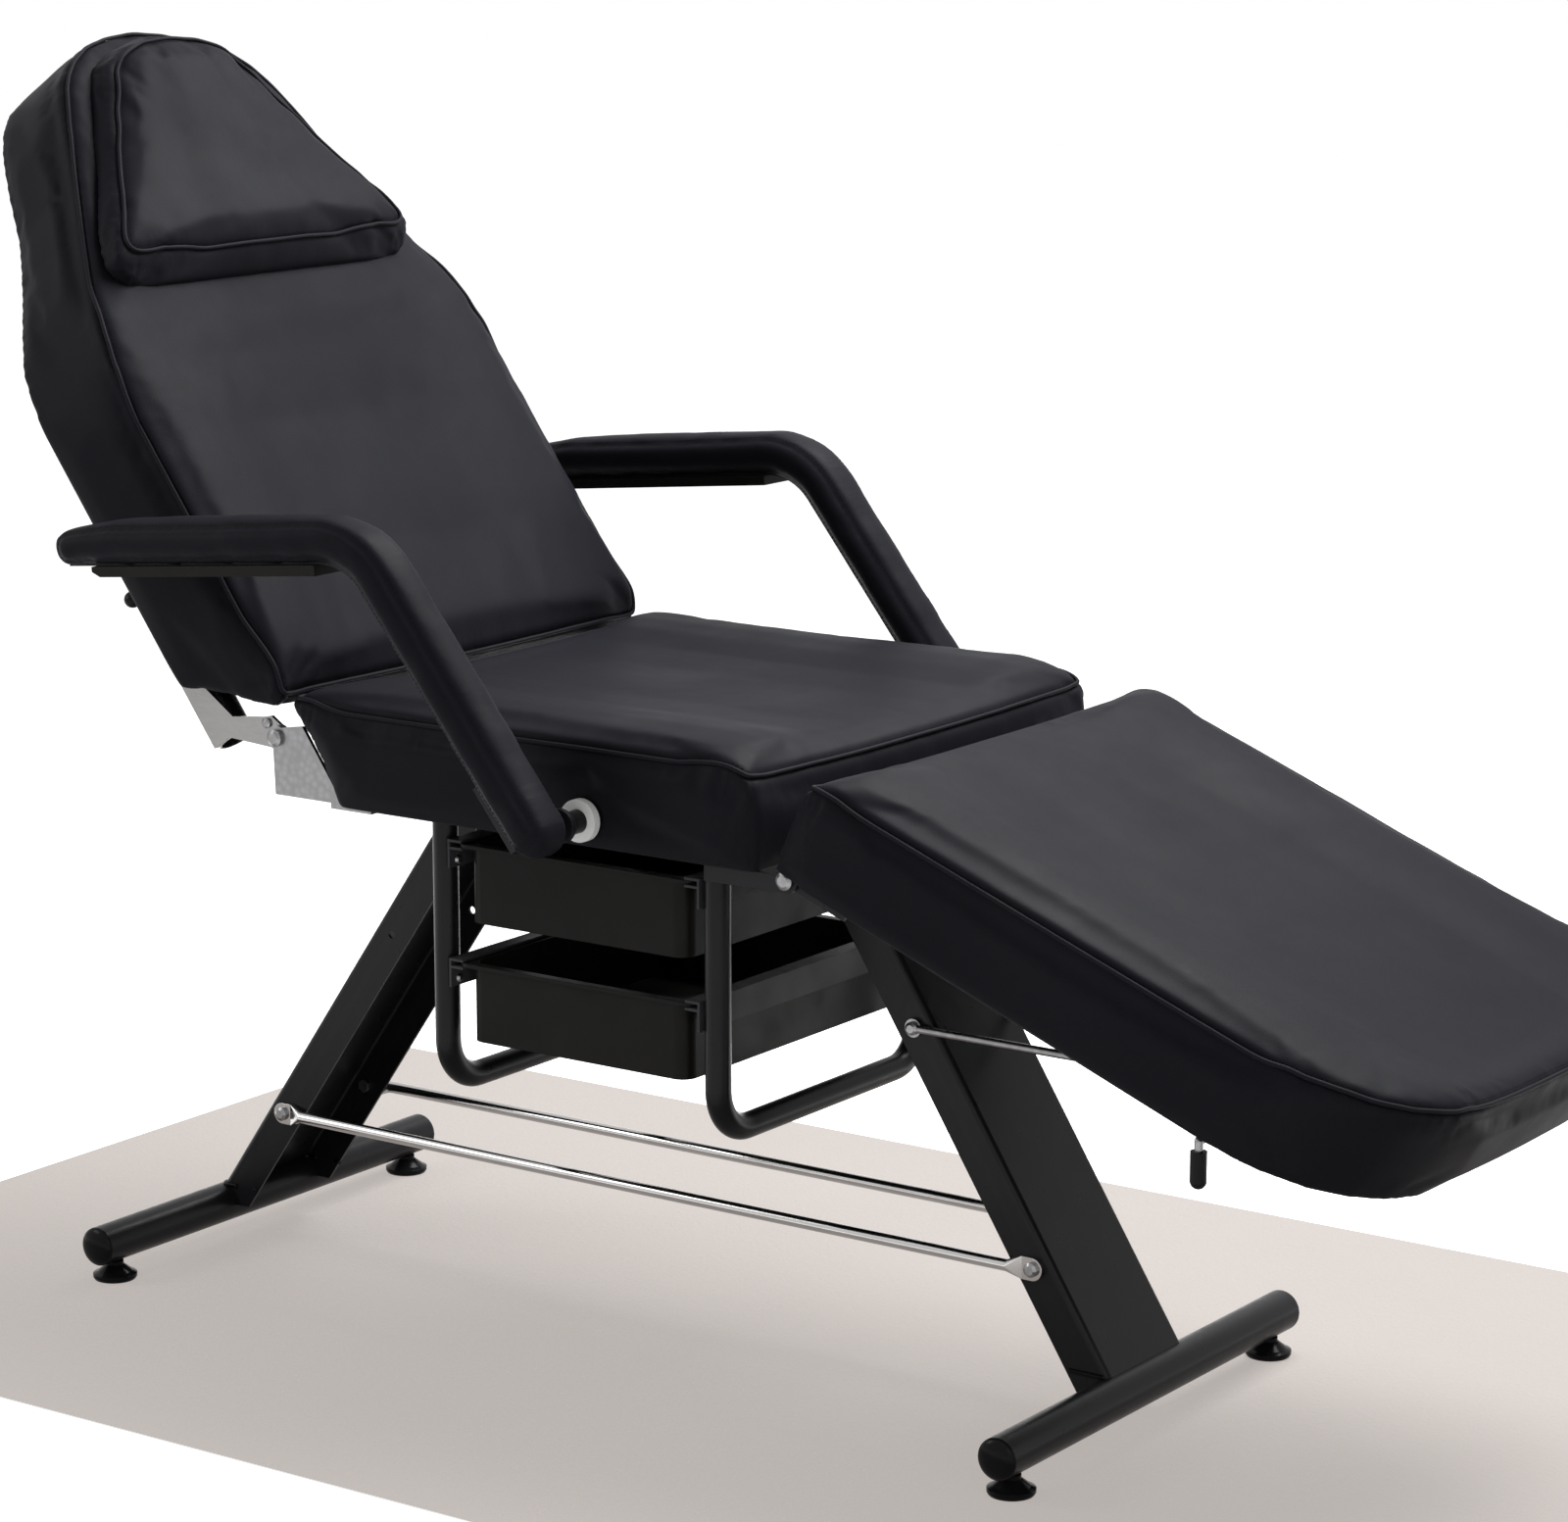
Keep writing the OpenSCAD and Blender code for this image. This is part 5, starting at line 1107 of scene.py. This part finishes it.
class BED_OT_hardware(Operator):
    """Set the screws, the weld beads and the staples under the boards"""

    bl_idname = "bed.hardware"
    bl_label = "Screws, welds and staples"

    def execute(self, context):
        sizes = context.scene.bed_hardware
        low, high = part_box("seat_side_rails")
        rail = high.y - sizes.rail_screw_inset
        end_gap = 0.05
        places = [(x, y, low.z) for x in (low.x + end_gap, (low.x + high.x) / 2, high.x - end_gap)
                  for y in (-rail, rail)]
        screws("seat_rail_screws", "base", places, -UP)
        screws("clip_screws", "back", *clip_places())
        above = 0.0005
        for end in ("rear", "front"):
            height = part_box(f"{end}_foot_tube")[1].z + above
            weld_beads(f"{end}_weld", "base", f"{end}_leg_channel", height)
        staples("seat_staples", "seat_board", "base", 0)
        staples("back_staples", "back_board", "back", back_tilt)
        staples("leg_staples", "leg_board", "leg_rest", leg_tilt)
        return {"FINISHED"}


class BED_OT_finishes(Operator):
    """Give every part of the frame its finish"""

    bl_idname = "bed.finishes"
    bl_label = "Finishes"

    def execute(self, context):
        for part in frame["record"]["subparts"]:
            node = nodes[part["node"]]
            finish = finish_of(
                "steel" if part["node"] in ("back_tube_near", "back_tube_far") else part["material_slot"])
            if node.data.materials:
                for i in range(len(node.data.materials)):
                    node.data.materials[i] = finish
            else:
                node.data.materials.append(finish)
        return {"FINISHED"}


class BED_PT_panel(Panel):
    """Sizes, colours and making of the bed's dressing"""

    bl_idname = "BED_PT_panel"
    bl_label = "Beauty bed"
    bl_space_type = "VIEW_3D"
    bl_region_type = "UI"
    bl_category = "Bed"

    def draw(self, context):
        for operator in OPERATORS:
            self.layout.operator(operator.bl_idname)
        for group, kind in GROUPS.items():
            box = self.layout.box()
            for name in kind.__annotations__:
                box.prop(getattr(context.scene, group), name)


OPERATORS = (
    BED_OT_camera,
    BED_OT_stage,
    BED_OT_finishes,
    BED_OT_seat,
    BED_OT_back,
    BED_OT_leg_rest,
    BED_OT_pillow,
    BED_OT_arms,
    BED_OT_hardware,
)
CLASSES = (*GROUPS.values(), *OPERATORS, BED_PT_panel)


def register():
    for kind in CLASSES:
        bpy.utils.register_class(kind)
    for name, kind in GROUPS.items():
        setattr(bpy.types.Scene, name, PointerProperty(type=kind))


def unregister():
    for name in GROUPS:
        delattr(bpy.types.Scene, name)
    for kind in reversed(CLASSES):
        bpy.utils.unregister_class(kind)


def main():
    register()
    bpy.ops.bed.camera()
    bpy.ops.bed.stage()
    bpy.ops.bed.finishes()
    bpy.ops.bed.seat()
    bpy.ops.bed.back()
    bpy.ops.bed.leg_rest()
    bpy.ops.bed.pillow()
    bpy.ops.bed.arms()
    bpy.ops.bed.hardware()


if __name__ == "__main__":
    main()
